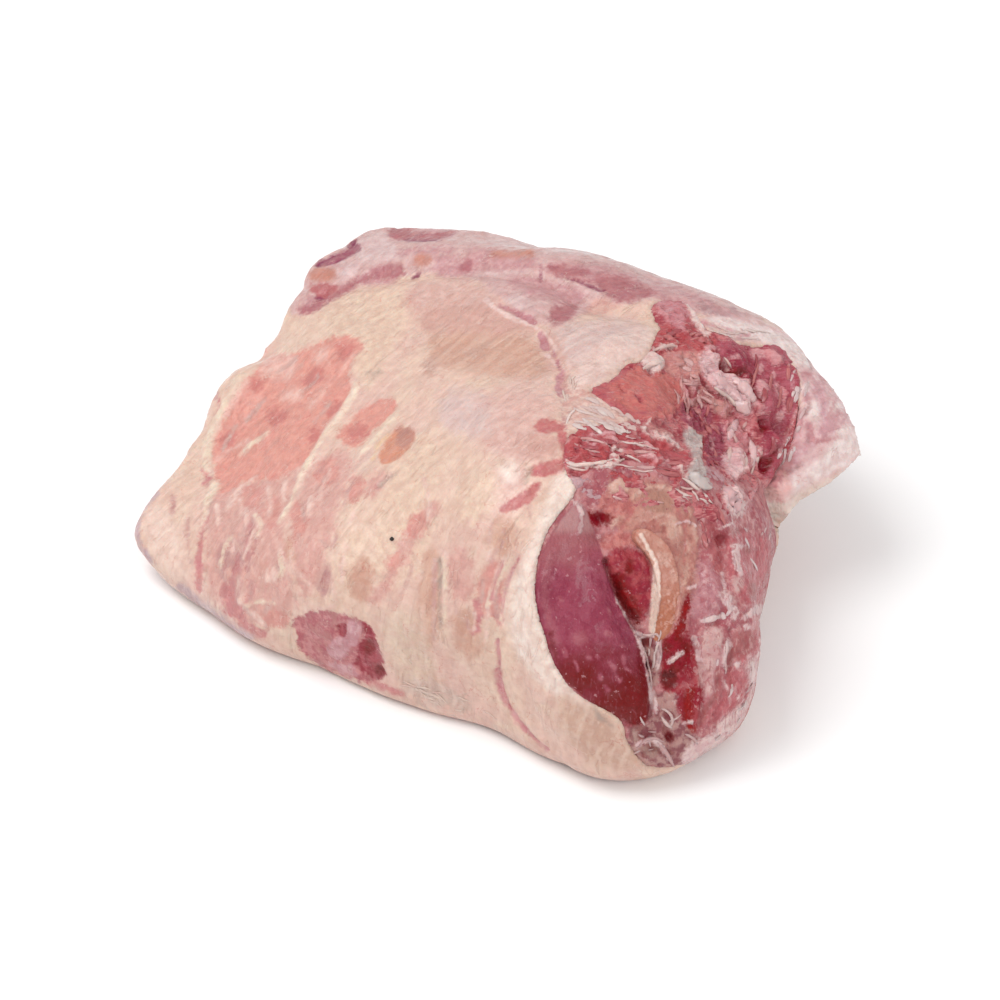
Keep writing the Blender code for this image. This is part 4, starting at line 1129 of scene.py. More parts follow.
BONE_RIM = (
    line(1.4, 641, 535, 649, 550, 656, 563),
    area(
        654, 558, 660, 566, 661, 590, 659, 608, 656, 624, 655, 635, 648, 635, 650, 612, 651, 590, 653, 574,
    ),
)
ARM_SHOWS = (
    ("mauve_muscle", (
        area(690, 560, 712, 560, 724, 585, 722, 612, 704, 622, 688, 614, 686, 585),
        area(694, 634, 722, 626, 722, 660, 712, 700, 700, 706, 696, 680),
    ), (0.56, 0.27, 0.285), (0.50, 0.215, 0.24), 1.4, 1.2, 0.3),
    ("right_muscle", (
        area(728, 532, 768, 534, 770, 560, 764, 600, 744, 606, 730, 590, 726, 560),
        area(734, 632, 762, 630, 760, 656, 744, 664, 732, 652),
        area(728, 668, 746, 668, 744, 700, 722, 720, 706, 728, 700, 716, 722, 700),
    ), (0.60, 0.20, 0.215), (0.49, 0.14, 0.155), 1.2, 1.4, 0.2),
    ("bone_tissue", (
        area(604, 484, 628, 478, 660, 480, 684, 492, 698, 515, 700, 552, 694, 590, 686, 606, 680, 630,
            664, 640, 650, 640, 652, 600, 658, 566, 648, 548, 636, 535, 612, 530),
    ), (0.6, 0.3, 0.25), (0.51, 0.215, 0.185), 2.2, 2.2, 0.25),
    ("dome_cap", (
        area(636, 500, 648, 489, 664, 490, 674, 504, 668, 514, 648, 512),
        area(664, 560, 676, 575, 672, 600, 662, 606, 660, 580),
    ), (0.47, 0.24, 0.19), (0.51, 0.26, 0.205), 1.2, 0.8, 0),
    ("dome_arcs", (
        line(1.2, 612, 526, 624, 506, 644, 486, 668, 486, 690, 508, 696, 540, end=0.5),
        line(1.2, 662, 524, 676, 522, 686, 536, 688, 560, 684, 584, end=0.6),
        line(1.0, 652, 518, 664, 514, 676, 520, 682, 534), area(606, 482, 626, 478, 628, 492, 612, 496),
        area(664, 520, 676, 518, 680, 534, 668, 540),
    ), (0.71, 0.44, 0.37), (0.65, 0.38, 0.31), 0.9, 1.0, 0.15),
    ("dome_red", (
        line(0.9, 622, 528, 632, 508, 646, 498), line(1.3, 604, 508, 622, 500, 634, 508),
        area(648, 532, 660, 538, 664, 556, 656, 560, 648, 548), line(0.8, 676, 506, 686, 530, 684, 560),
    ), (0.60, 0.22, 0.20), (0.55, 0.20, 0.19), 0.8, 1.0, -0.3),
    ("dark_side", (
        area(706, 516, 716, 520, 725, 545, 725, 572, 714, 576, 711, 552, 704, 534),
        line(1.4, 716, 528, 720, 545, 719, 566), line(1.6, 718, 670, 718, 690, 712, 706),
        line(1.2, 732, 640, 730, 664, 731, 684),
    ), (0.5, 0.16, 0.165), (0.42, 0.11, 0.12), 1.0, 1.0, -0.5),
    ("red_tissue", (
        area(596, 500, 612, 492, 632, 500, 634, 512, 616, 518, 600, 512),
        area(598, 536, 618, 530, 640, 538, 644, 548, 620, 546, 602, 552),
        area(640, 548, 650, 562, 652, 590, 648, 606, 642, 580),
    ), (0.62, 0.245, 0.22), (0.50, 0.165, 0.155), 1.0, 1.2, 0.1),
    ("large_muscle", (
        area(580, 498, 560, 520, 542, 552, 533, 590, 538, 625, 547, 652, 560, 675, 578, 693, 598, 707,
            620, 718, 644, 724, 652, 712, 650, 690, 645, 662, 637, 638, 624, 612, 614, 590, 604, 564,
            598, 540, 590, 520),
    ), (0.365, 0.085, 0.125), (0.315, 0.062, 0.098), 0.5, 0.5, 0),
    ("muscle_edge", (
        line(3.6, 548, 560, 543, 580, 544, 604, 550, 628, 556, 644, end=1.4),
        line(1.8, 572, 512, 562, 530, 554, 548), area(570, 636, 584, 630, 586, 642, 574, 648),
    ), (0.43, 0.135, 0.165), (0.38, 0.105, 0.135), 1.6, 1.4, 0),
    ("muscle_shade", (
        line(1.4, 549, 634, 554, 652, 561, 668, 572, 684, end=0.8),
        line(1.6, 550, 640, 556, 658, 566, 678, 580, 692, end=0.8),
        line(2.0, 606, 560, 616, 586, 628, 612, 638, 640, 643, 664, end=1.2),
    ), (0.265, 0.062, 0.075), (0.23, 0.045, 0.055), 1.2, 1.0, -0.1),
    ("muscle_spots", (
        line(1.4, 586, 657, 590, 658), line(1.1, 596, 656, 598, 658), line(1.4, 574, 661, 577, 670),
        line(1.7, 609, 662, 614, 668), line(1.3, 576, 636, 578, 638), line(1.5, 605, 633, 609, 634),
        line(1.4, 621, 645, 626, 647), line(1.5, 563, 650, 565, 655), line(1.1, 622, 655, 623, 663),
        line(1.1, 616, 677, 618, 680), line(1.3, 599, 675, 600, 678), line(1.4, 633, 693, 637, 697),
        line(1.1, 625, 668, 630, 671), line(1.1, 607, 608, 609, 612), line(1.0, 630, 706, 634, 709),
        line(1.0, 559, 597, 560, 601), line(1.1, 543, 588, 547, 592), line(1.0, 604, 686, 607, 690),
    ), (0.45, 0.15, 0.18), (0.38, 0.1, 0.13), 0.7, 0.9, 0.1),
    ("muscle_foot", (
        area(596, 704, 612, 694, 630, 690, 645, 684, 649, 704, 649, 725, 634, 728, 614, 717),
    ), (0.17, 0.0, 0.012), (0.225, 0.012, 0.03), 1.4, 1.8, -0.1),
    ("small_muscle", (
        area(606, 556, 622, 546, 642, 550, 651, 568, 652, 596, 645, 622, 634, 620, 622, 602, 612, 580),
    ), (0.44, 0.09, 0.1), (0.33, 0.04, 0.06), 1.2, 1.4, 0),
    ("small_dark", (
        area(614, 574, 624, 572, 632, 590, 642, 612, 636, 620, 622, 604),
        area(626, 556, 634, 560, 630, 576, 622, 572),
    ), (0.21, 0.004, 0.015), (0.27, 0.02, 0.03), 1.2, 1.2, -0.2),
    ("red_zone", (
        area(662, 634, 692, 632, 700, 650, 706, 690, 702, 728, 684, 732, 676, 706, 662, 694, 657, 664),
        area(668, 728, 688, 728, 686, 744, 672, 756, 662, 748),
    ), (0.42, 0.085, 0.095), (0.32, 0.035, 0.05), 1.4, 2.0, -0.2),
    ("blood", (
        area(664, 636, 684, 634, 696, 648, 692, 668, 676, 676, 664, 668, 660, 652),
        area(582, 512, 598, 512, 614, 514, 610, 526, 590, 528),
        area(684, 692, 696, 690, 694, 708, 690, 726, 682, 722, 682, 704),
        line(2.0, 688, 598, 685, 612, 680, 630, 676, 642, end=3.4),
    ), (0.235, 0.0, 0.01), (0.32, 0.025, 0.04), 1.2, 2.0, -0.4),
    ("deep_blood", (
        area(660, 670, 678, 670, 678, 690, 662, 690), line(1.8, 616, 576, 621, 596, 632, 614, 638, 622),
        area(662, 728, 668, 728, 676, 740, 670, 744), area(636, 726, 652, 726, 656, 738, 640, 740),
        area(648, 644, 656, 646, 656, 658, 650, 656),
    ), (0.14, 0.0, 0.0), (0.2, 0.0, 0.008), 1.0, 1.2, -0.6),
    ("bright_blood", (
        line(2.6, 691, 692, 689, 704, 687, 718, end=3.2), line(1.8, 686, 604, 682, 618, 678, 634),
        area(684, 724, 694, 722, 698, 732, 688, 736),
    ), (0.35, 0.0, 0.0), (0.28, 0.0, 0.012), 0.9, 1.2, -0.1),
    ("tangle", (
        area(630, 728, 648, 725, 655, 706, 676, 704, 682, 722, 700, 742, 690, 765, 650, 770, 626, 752),
        area(640, 634, 660, 634, 662, 650, 658, 690, 650, 684),
        area(652, 692, 678, 692, 676, 706, 656, 708),
    ), (0.51, 0.29, 0.265), (0.3, 0.11, 0.12), 1.0, 1.8, 0),
    ("tangle_dark", (
        line(1.5, 643, 753, 648, 748, 655, 747, 661, 753),
        area(628, 727, 650, 725, 656, 738, 640, 743, 630, 738),
        area(660, 727, 668, 727, 677, 742, 668, 745), area(663, 709, 676, 713, 673, 725, 663, 719),
        area(664, 747, 676, 751, 674, 757, 665, 755),
    ), (0.24, 0.07, 0.08), (0.33, 0.13, 0.12), 0.9, 1.2, -0.3),
    ("tangle_hole", (
        area(646, 742, 656, 742, 660, 752, 652, 758, 645, 752), line(1.4, 634, 732, 638, 744, 646, 750),
    ), (0.42, 0.24, 0.21), (0.48, 0.29, 0.255), 0.9, 1.0, -0.5),
    ("pale_film", (
        area(700, 632, 712, 624, 724, 632, 722, 650, 714, 672, 704, 690, 698, 676, 700, 655),
        area(722, 590, 732, 592, 742, 598, 736, 606, 724, 602),
        area(730, 578, 742, 576, 744, 590, 734, 594), area(706, 674, 716, 668, 714, 690, 706, 696),
    ), (0.66, 0.415, 0.395), (0.60, 0.33, 0.325), 1.2, 1.2, 0.1),
    ("brown_meat", (
        area(733, 636, 742, 630, 756, 632, 756, 648, 744, 656, 734, 658, 730, 668, 728, 655),
        line(1.2, 714, 720, 717, 728, 715, 736), area(714, 668, 722, 672, 722, 690, 716, 694),
        line(2.4, 714, 698, 708, 708, 702, 722), area(746, 584, 756, 582, 757, 600, 750, 600),
        area(743, 544, 752, 544, 752, 554, 744, 554), line(1.0, 708, 626, 714, 624, 718, 624),
        area(728, 530, 740, 526, 744, 532, 732, 536),
    ), (0.42, 0.145, 0.145), (0.49, 0.19, 0.19), 1.0, 1.0, -0.5),
    ("arm_rim", (
        area(748, 656, 756, 654, 775, 640, 765, 700, 740, 745, 690, 775, 680, 764, 686, 746, 706, 738,
            714, 734, 716, 722, 732, 711, 746, 700, 752, 684, 747, 670),
        area(722, 486, 742, 484, 748, 512, 734, 520, 722, 506),
    ), (0.79, 0.585, 0.56), (0.71, 0.46, 0.46), 1.2, 1.6, 0.3),
    ("grey_streak", (
        line(1.8, 578, 504, 581, 516, 579, 532, end=0.9), area(572, 500, 580, 502, 584, 510, 576, 512),
    ), (0.62, 0.43, 0.42), (0.54, 0.34, 0.34), 0.9, 1.2, 0.2),
    ("membrane_and_wet_glints", (
        # The next line is a pale arch, partly strand and partly a painted highlight over the dark arc.
        line(1.5, 637, 745, 646, 741, 657, 742, 664, 749, 669, 758),
        line(1.0, 566, 494, 576, 502, 582, 514),
        line(1.0, 616, 598, 630, 622, 640, 642, 646, 664, 651, 690, 656, 712, end=1.6),
        line(1.4, 640, 634, 650, 638, 656, 634), line(1.2, 657, 640, 661, 652, 657, 668),
        line(1.8, 702, 621, 712, 619, 722, 616), line(2.2, 722, 594, 728, 604, 736, 610, 734, 619),
        area(740, 616, 748, 612, 754, 606, 762, 602, 762, 614, 750, 616, 744, 622),
        area(741, 626, 746, 622, 750, 627, 746, 631),
        area(724, 642, 730, 636, 734, 644, 730, 652, 726, 662, 726, 674, 721, 662, 723, 652),
        line(1.8, 694, 638, 699, 648, 699, 660), line(2.6, 735, 552, 736, 564, 740, 573, end=1.8),
        line(1.4, 733, 545, 739, 547, 744, 546), line(1.2, 723, 574, 725, 584, 726, 594),
        line(1.0, 720, 529, 727, 525, 733, 522), line(1.0, 726, 682, 727, 690),
        line(0.8, 737, 694, 738, 700), area(735, 662, 740, 661, 739, 668, 735, 667),
        # The last line on the next row is a painted glint on the blood.
        line(1.0, 762, 616, 763, 630, 760, 642), line(1.4, 684, 723, 692, 722),
        line(1.0, 688, 588, 695, 586), line(0.8, 676, 524, 688, 520, 696, 526),
        # The next line is a painted glint on the blood.
        line(1.6, 670, 662, 678, 656, 682, 652),
    ), (0.79, 0.58, 0.565), (0.72, 0.47, 0.47), 0.5, 0.8, 0.4),
    ("bone_strip", BONE_RIM, (0.84, 0.62, 0.535), (0.78, 0.54, 0.46), 0.5, 0.6, 0.4),
)

# Furrows between the muscles: how deep and wide they are, in millimetres, and their corners.
ARM_FURROWS = (
    (2.6, 1.0, 606, 562, 617, 592, 628, 616, 642, 638),
    (2.0, 0.9, 645, 640, 650, 662, 652, 690, 650, 716),
    (0.7, 2.2, 697, 500, 702, 540, 697, 585, 690, 600),
    (1.1, 1.4, 714, 520, 722, 550, 726, 585, 722, 618),
    (1.3, 1.1, 694, 640, 700, 662, 704, 700, 698, 738),
    (1.2, 1.1, 730, 630, 730, 664, 722, 700, 708, 726),
)
ARM_PITS = (
    ((648, 642), 3.2, 1.3), ((650, 665), 2.6, 1.2), ((653, 749), 1.4, 2.0), ((671, 737), 2.2, 1.4),
    ((600, 519), 2.0, 2.2), ((724, 540), 1.6, 2.2),
)
RIGHT_MEAT = area(700, 510, 775, 505, 790, 600, 760, 720, 700, 750, 684, 700, 692, 640, 700, 600)
MUSCLE_ROWS = (520, 700)  # rows of the picture between which the large muscle goes from mauve to crimson
ARM_BORDER_DIP = 2.6  # how far the border of the cut dips under the fat, in millimetres
BONE_HOLLOW = 3.0  # how far the meat stays back under the bone's end

arm_cut, points, places, lost, arm_out = cut_piece(
    "arm_cut", ARM_OPENING, ARM_MIDDLE_PIXEL, ARM_WAY, ARM_REACH
)
coarse = uneven(points, 6, 3)
fine = uneven(points, 1.8, 3, 5.0)
reaches = store_reaches(arm_cut.data, ARM_SHOWS, places, lost, 0.5 * coarse + 0.5 * fine)
calm = step(reaches["large_muscle"], -1, 1)
arm_rise = (0.55 * coarse + 0.45 * fine) * (1 - 0.7 * calm) - pits(places, ARM_PITS)
store(arm_cut.data, "relief", arm_rise)
store(arm_cut.data, "in_depth", step(places[:, 1], *MUSCLE_ROWS))
store(arm_cut.data, "in_right_meat", step(RIGHT_MEAT(places), -1.5, 1.5))
arm_rise = arm_rise + patch_rise(ARM_SHOWS, reaches)
arm_rise += bulge(reaches["large_muscle"], 1.3, 3.5) + bulge(reaches["small_muscle"], 1.3, 2.5)
for furrow in ARM_FURROWS:
    arm_rise += groove(places, *furrow)
bone_inward = bone_reach(points, arm_out)
arm_rise *= 1 - 0.7 * step(bone_inward, -2.2, -0.2)
arm_rise -= BONE_HOLLOW * step(bone_inward, 0.9, 1.9)
arm_rise -= ARM_BORDER_DIP * step(lost - ARM_OPENING(places), 0.1, 2.4)
set_points(arm_cut.data, points + arm_out * (arm_rise * MM)[:, None])

MARBLED = (0.60, 0.275, 0.275)
MARBLED_DARK = (0.43, 0.13, 0.15)

# Marbled meat with the muscles laid over, streaks in the meat right of the bone, and the large
# muscle going from mauve at its top to crimson at its foot. Hollows of the relief get painted
# shade and its ridges a painted highlight.
arm_material, tree, shader = meat_material("lean_of_the_arm_cut", 0.13, 0.12)
places_3d = object_places(tree)
wide_clouds = clouds(tree, places_3d, 9, 4)
mid_clouds = clouds(tree, places_3d, 3.5, 4, 0.6)
edge_clouds = clouds(tree, places_3d, 1.0, 3)
fibre_clouds = fibres(tree, places_3d, (0.9, 0.9, 5), 4.0, 0.6)
mixed = times_plus(tree, mid_clouds, 0.5, times(tree, wide_clouds, 0.5))
colour = blend(tree, smooth_band(tree, mixed, 0.42, 0.57), MARBLED_DARK, MARBLED)
specks = smooth_band(tree, clouds(tree, places_3d, 2.2, 4, 0.65), 0.56, 0.62)
colour = lay(tree, colour, specks, 0.35, (0.74, 0.49, 0.47))
tone = smooth_band(tree, mid_clouds, 0.42, 0.58)
colour = lay_shows(tree, colour, ARM_SHOWS, tone, edge_clouds)
streaks = fibres(tree, places_3d, (1.5, 1.5, 7), 4.0, 0.7, roughness=0.6)
streaky = smooth_band(tree, attribute(tree, "in_right_meat"), 0.0, 1.0)
dark_lines = times(tree, smooth_band(tree, streaks, 0.47, 0.38), streaky)
colour = lay(tree, colour, dark_lines, 0.5, (0.42, 0.115, 0.13))
pale_lines = times(tree, smooth_band(tree, streaks, 0.55, 0.64), streaky)
colour = lay(tree, colour, pale_lines, 0.4, (0.74, 0.47, 0.46))
muscle_mask = patch_mask(tree, "large_muscle", 0.6, 0.4, edge_clouds)
on_muscle = calculate(tree, "MAXIMUM", attribute(tree, "membrane_and_wet_glints"), attribute(tree, "muscle_spots"))
on_muscle = calculate(tree, "MAXIMUM", on_muscle, attribute(tree, "grey_streak"))
muscle_mask = times(tree, muscle_mask, smooth_band(tree, on_muscle, 0.5, -0.7))
deep = attribute(tree, "in_depth")
uneven_deep = times_plus(tree, calculate(tree, "SUBTRACT", wide_clouds, 0.5), 0.5, deep)
mauve_top = times(tree, smooth_band(tree, uneven_deep, 0.30, -0.05), muscle_mask)
colour = blend(tree, mauve_top, colour, (0.42, 0.145, 0.16))
crimson = times(tree, smooth_band(tree, uneven_deep, 0.70, 1.05), muscle_mask)
colour = blend(tree, crimson, colour, (0.21, 0.006, 0.024))
dull_top = times(tree, smooth_band(tree, deep, 0.025, 0.0), muscle_mask)
colour = lay(tree, colour, dull_top, 0.75, (0.53, 0.30, 0.295))
grain = times(tree, smooth_band(tree, fibre_clouds, 0.56, 0.70), muscle_mask)
colour = lay(tree, colour, grain, 0.3, (0.46, 0.16, 0.20))
flecks = smooth_band(tree, clouds(tree, places_3d, 2.0, 3, 0.6), 0.66, 0.70)
colour = lay(tree, colour, flecks, 0.6, (0.60, 0.31, 0.33))
# Painted shade in the hollows of the relief, and a painted highlight on its ridges.
hollow_shade = smooth_band(tree, attribute(tree, "relief"), 0.0, -1.3)
colour = lay(tree, colour, hollow_shade, 0.75, (0.26, 0.02, 0.035))
ridge_highlight = smooth_band(tree, attribute(tree, "relief"), 0.45, 1.1)
ridge_highlight = times(tree, ridge_highlight, calculate(tree, "SUBTRACT", 1.0, muscle_mask))
colour = lay(tree, colour, ridge_highlight, 0.3, (0.78, 0.53, 0.50))
finish_meat(tree, shader, colour, 0.42, 0.24, times(tree, fibre_clouds, 0.5))
wear(arm_cut, arm_material)


# Neck cut
# The torn end of the neck, open from the back of the block down to the arm cut: red shreds of
# several muscles, white sinew between them, pits of torn vessels and the flap behind.
NECK_MIDDLE_PIXEL = (680, 410)
NECK_REACH = (0.062, 0.040)
NECK_BORDER_DIP = 2.8
NECK_PITS = (
    ((725, 367), 3.4, 2.2), ((764, 421), 1.9, 2.2), ((746, 428), 1.4, 1.4), ((764, 463), 2.2, 2.0),
    ((743, 488), 3.2, 1.9), ((712, 444), 2.0, 2.4), ((690, 405), 1.8, 2.0), ((662, 470), 1.6, 2.2),
    ((620, 452), 1.6, 1.6), ((672, 350), 1.8, 1.8), ((786, 470), 2.0, 1.8),
)
NECK_SHOWS = (
    ("torn_flesh", (
        area(570, 428, 604, 426, 650, 436, 684, 448, 690, 476, 660, 488, 620, 482, 580, 478, 564, 455),
        area(640, 334, 668, 322, 686, 312, 702, 334, 716, 338, 722, 352, 700, 356, 676, 352, 650, 356),
    ), (0.56, 0.135, 0.14), (0.44, 0.075, 0.085), 1.2, 1.6, 0),
    ("wedge_flesh", (
        area(652, 300, 682, 300, 692, 314, 698, 328, 684, 334, 668, 324, 658, 312),
    ), (0.65, 0.30, 0.325), (0.58, 0.22, 0.24), 1.0, 1.2, 0.5),
    ("wedge_core", (
        area(684, 316, 694, 314, 702, 330, 702, 341, 688, 340, 683, 328),
        area(583, 430, 596, 430, 598, 448, 586, 452, 580, 442),
        area(660, 448, 680, 452, 688, 466, 676, 472, 660, 462),
    ), (0.50, 0.13, 0.145), (0.46, 0.10, 0.11), 0.9, 1.0, -0.3),
    ("salmon_muscle", (
        area(588, 390, 612, 381, 624, 374, 634, 366, 646, 372, 660, 373, 680, 376, 684, 390, 680, 406,
            668, 416, 652, 420, 634, 420, 618, 408, 604, 398),
    ), (0.65, 0.215, 0.19), (0.585, 0.16, 0.15), 1.4, 1.8, 0.6),
    ("salmon_tip", (
        area(586, 390, 602, 383, 611, 388, 610, 400, 598, 399), line(1.4, 604, 384, 618, 378, 627, 367),
        line(1.2, 612, 404, 626, 414, 644, 414, 660, 409),
    ), (0.46, 0.11, 0.13), (0.54, 0.15, 0.155), 1.2, 1.6, -0.1),
    ("pink_muscle", (
        area(656, 356, 676, 350, 700, 352, 704, 372, 696, 382, 676, 380, 662, 372),
        area(706, 398, 722, 396, 736, 412, 728, 420, 712, 412),
    ), (0.68, 0.315, 0.285), (0.60, 0.245, 0.235), 1.0, 1.2, 0.3),
    ("brown_tissue", (
        area(682, 380, 700, 376, 714, 392, 716, 408, 700, 410, 688, 404, 682, 394),
        area(636, 424, 656, 420, 676, 430, 670, 438, 646, 434),
    ), (0.58, 0.27, 0.25), (0.45, 0.16, 0.16), 1.0, 1.4, 0),
    ("plum_tissue", (
        area(680, 402, 704, 404, 714, 418, 708, 432, 690, 430, 682, 418),
        area(707, 436, 716, 426, 727, 423, 730, 437, 725, 452, 722, 470, 708, 470, 703, 450),
    ), (0.44, 0.115, 0.155), (0.33, 0.06, 0.09), 1.0, 1.4, -0.5),
    ("dark_muscle", (
        area(716, 340, 736, 344, 760, 344, 786, 344, 799, 384, 795, 412, 786, 446, 772, 480, 758, 478,
            764, 446, 764, 420, 758, 396, 750, 376, 728, 362, 716, 352),
    ), (0.51, 0.145, 0.18), (0.43, 0.085, 0.115), 1.0, 1.6, 0.3),
    ("inner_dark", (
        area(722, 348, 752, 356, 760, 376, 764, 396, 758, 398, 748, 380, 726, 366),
        area(764, 420, 772, 424, 774, 450, 766, 456, 762, 440),
    ), (0.33, 0.045, 0.075), (0.42, 0.09, 0.12), 1.2, 1.8, -0.4),
    ("rosy_knobs", (
        area(753, 399, 764, 400, 768, 412, 757, 415), area(750, 488, 758, 488, 760, 502, 750, 506),
        area(724, 422, 738, 418, 745, 438, 760, 446, 762, 462, 748, 474, 730, 460, 724, 440),
        line(1.3, 776, 384, 784, 396, 783, 414), area(733, 402, 748, 404, 752, 416, 742, 420, 732, 412),
        area(760, 350, 776, 352, 784, 366, 770, 368),
    ), (0.74, 0.34, 0.35), (0.64, 0.225, 0.25), 1.0, 1.6, 0.5),
    ("knobs", (
        area(697, 354, 716, 352, 724, 368, 744, 376, 754, 392, 756, 410, 744, 416, 730, 404, 712, 388,
            700, 372),
        area(722, 452, 738, 450, 744, 470, 736, 482, 724, 474),
    ), (0.86, 0.575, 0.57), (0.78, 0.445, 0.46), 1.0, 1.2, 0.9),
    ("pale_knob", (
        area(722, 488, 738, 486, 742, 506, 734, 516, 722, 508),
        area(738, 462, 746, 460, 748, 472, 740, 474),
    ), (0.98, 0.68, 0.66), (0.93, 0.59, 0.58), 0.9, 1.0, 1.0),
    # Painted shade in the deepest pits, holes and crevices, and a painted shadow under the white curl.
    ("pit_shade", (
        area(718, 360, 730, 362, 752, 370, 742, 377, 724, 371),
        area(760, 416, 768, 416, 768, 432, 762, 432), area(728, 424, 735, 426, 733, 438, 727, 436),
        area(759, 456, 770, 456, 774, 448, 778, 452, 768, 474, 760, 474),
        area(735, 484, 747, 481, 749, 492, 744, 499, 740, 490), line(1.2, 752, 376, 756, 390, 762, 402),
        line(1.3, 780, 448, 772, 460, 764, 470), line(1.2, 572, 472, 586, 476, 606, 474),
        line(1.0, 702, 380, 710, 390, 722, 396),
    ), (0.2, 0.0, 0.015), (0.29, 0.02, 0.04), 1.0, 1.0, -1.2),
    ("mauve_band", (
        area(568, 472, 590, 478, 606, 494, 590, 510, 572, 494),
        area(700, 466, 716, 470, 726, 482, 712, 490, 700, 482),
    ), (0.60, 0.365, 0.385), (0.54, 0.31, 0.33), 1.0, 1.2, 0),
    ("gristle_film", (
        area(680, 434, 690, 430, 702, 436, 700, 456, 704, 474, 714, 484, 702, 492, 690, 484, 684, 474,
            693, 462, 688, 448),
    ), (0.66, 0.55, 0.52), (0.56, 0.42, 0.40), 0.8, 0.9, 0.9),
    ("rosy_spots", (
        area(770, 358, 776, 352, 782, 358, 776, 367, 770, 366),
        area(756, 380, 766, 380, 768, 392, 762, 398, 757, 390),
        area(774, 414, 782, 411, 784, 420, 776, 423),
        area(748, 350, 758, 348, 764, 354, 756, 362, 750, 358),
        area(771, 372, 775, 371, 775, 379, 771, 379), area(756, 366, 762, 364, 763, 372, 757, 372),
        line(1.2, 774, 386, 777, 392, 779, 398), line(1.0, 796, 412, 791, 424, 786, 440, 779, 456),
        line(1.4, 706, 350, 714, 348), line(1.2, 731, 357, 737, 357), line(1.4, 722, 414, 727, 406),
        line(1.2, 586, 440, 594, 444), line(1.0, 622, 450, 634, 452, 642, 456, 650, 458),
        line(1.0, 640, 474, 648, 466, 654, 470), line(1.0, 606, 438, 616, 442, 626, 442),
        line(1.2, 592, 434, 604, 432, 614, 434), line(0.9, 654, 462, 660, 458, 668, 460),
        line(1.0, 644, 444, 648, 450), line(1.2, 664, 466, 672, 470, 680, 468),
        line(1.0, 688, 404, 690, 412, 688, 418), line(1.0, 690, 384, 696, 392, 694, 400),
        line(0.9, 683, 386, 686, 396, 692, 404), line(0.9, 712, 436, 716, 440, 714, 448),
    ), (0.73, 0.37, 0.38), (0.67, 0.31, 0.325), 0.7, 0.8, 0.4),
    ("thin_darks", (
        line(1.3, 596, 474, 606, 470, 618, 470, 630, 473), line(0.9, 622, 446, 634, 448, 646, 452),
        line(0.9, 622, 440, 634, 438, 644, 440), line(0.9, 644, 484, 656, 486, 668, 490),
        line(0.9, 640, 478, 650, 478, 662, 482), line(1.1, 684, 384, 688, 393, 694, 398, 699, 388),
        line(1.2, 700, 376, 706, 388, 712, 396, 722, 400), line(1.4, 704, 440, 703, 450, 705, 458),
        line(1.2, 684, 486, 692, 492, 700, 498), line(1.1, 609, 444, 612, 452, 608, 460),
        area(574, 448, 578, 446, 579, 454, 575, 456), line(1.0, 702, 402, 708, 404),
        line(1.0, 656, 420, 660, 428, 664, 424), line(1.0, 662, 426, 672, 432, 678, 438),
        line(1.0, 626, 430, 630, 434), line(1.0, 618, 386, 624, 392), line(0.9, 636, 396, 640, 402),
        line(1.0, 750, 400, 753, 408, 757, 414), line(1.2, 746, 456, 751, 450, 753, 445),
        line(1.0, 716, 500, 724, 512, 734, 518),
    ), (0.36, 0.06, 0.075), (0.43, 0.1, 0.115), 0.6, 0.8, -0.7),
    ("white_nub", (
        line(1.1, 612, 452, 614, 447, 620, 447, 622, 453, 617, 458, 612, 454),
        line(1.3, 568, 461, 574, 466, 584, 466, 594, 467, 602, 467, 612, 466, 620, 460),
        line(1.1, 648, 424, 642, 430, 650, 436, 664, 438, 674, 443, 681, 449),
        line(1.0, 678, 468, 684, 476, 692, 483, 700, 490),
        area(638, 358, 648, 351, 660, 355, 666, 364, 656, 374, 644, 371),
        line(1.2, 655, 350, 666, 346, 676, 346), line(2.4, 688, 304, 696, 320, 706, 334),
        line(1.0, 726, 358, 730, 364),
    ), (0.84, 0.64, 0.60), (0.77, 0.52, 0.49), 0.8, 1.2, 0.6),
)

neck_cut, points, places, lost, neck_out = cut_piece(
    "neck_cut", NECK_OPENING, NECK_MIDDLE_PIXEL, NECK_WAY, NECK_REACH
)
coarse = uneven(points, 5.5, 3, 2.0)
fine = uneven(points, 2.2, 3, 9.0)
torn = np.abs(uneven(points, (9, 4, 4), 3, 4.0))
neck_rise = 1.3 * coarse + 0.7 * fine + 1.4 * (0.35 - torn)
reaches = store_reaches(neck_cut.data, NECK_SHOWS, places, lost, 0.6 * coarse + 0.6 * fine)
for name in ("salmon_muscle", "dark_muscle"):
    neck_rise *= 1 - 0.65 * step(reaches[name], 0, 2.5)
neck_rise -= pits(places, NECK_PITS)
store(neck_cut.data, "relief", neck_rise)
neck_rise += patch_rise(NECK_SHOWS, reaches)
inward = NECK_OPENING(places) - lost
neck_rise *= step(inward, -1.0, 2.0) * 0.7 + 0.3
neck_rise -= NECK_BORDER_DIP * step(-inward, 0.1, 2.6)
set_points(neck_cut.data, points + neck_out * (neck_rise * MM)[:, None])

TORN = (0.64, 0.225, 0.23)
TORN_DARK = (0.42, 0.08, 0.10)

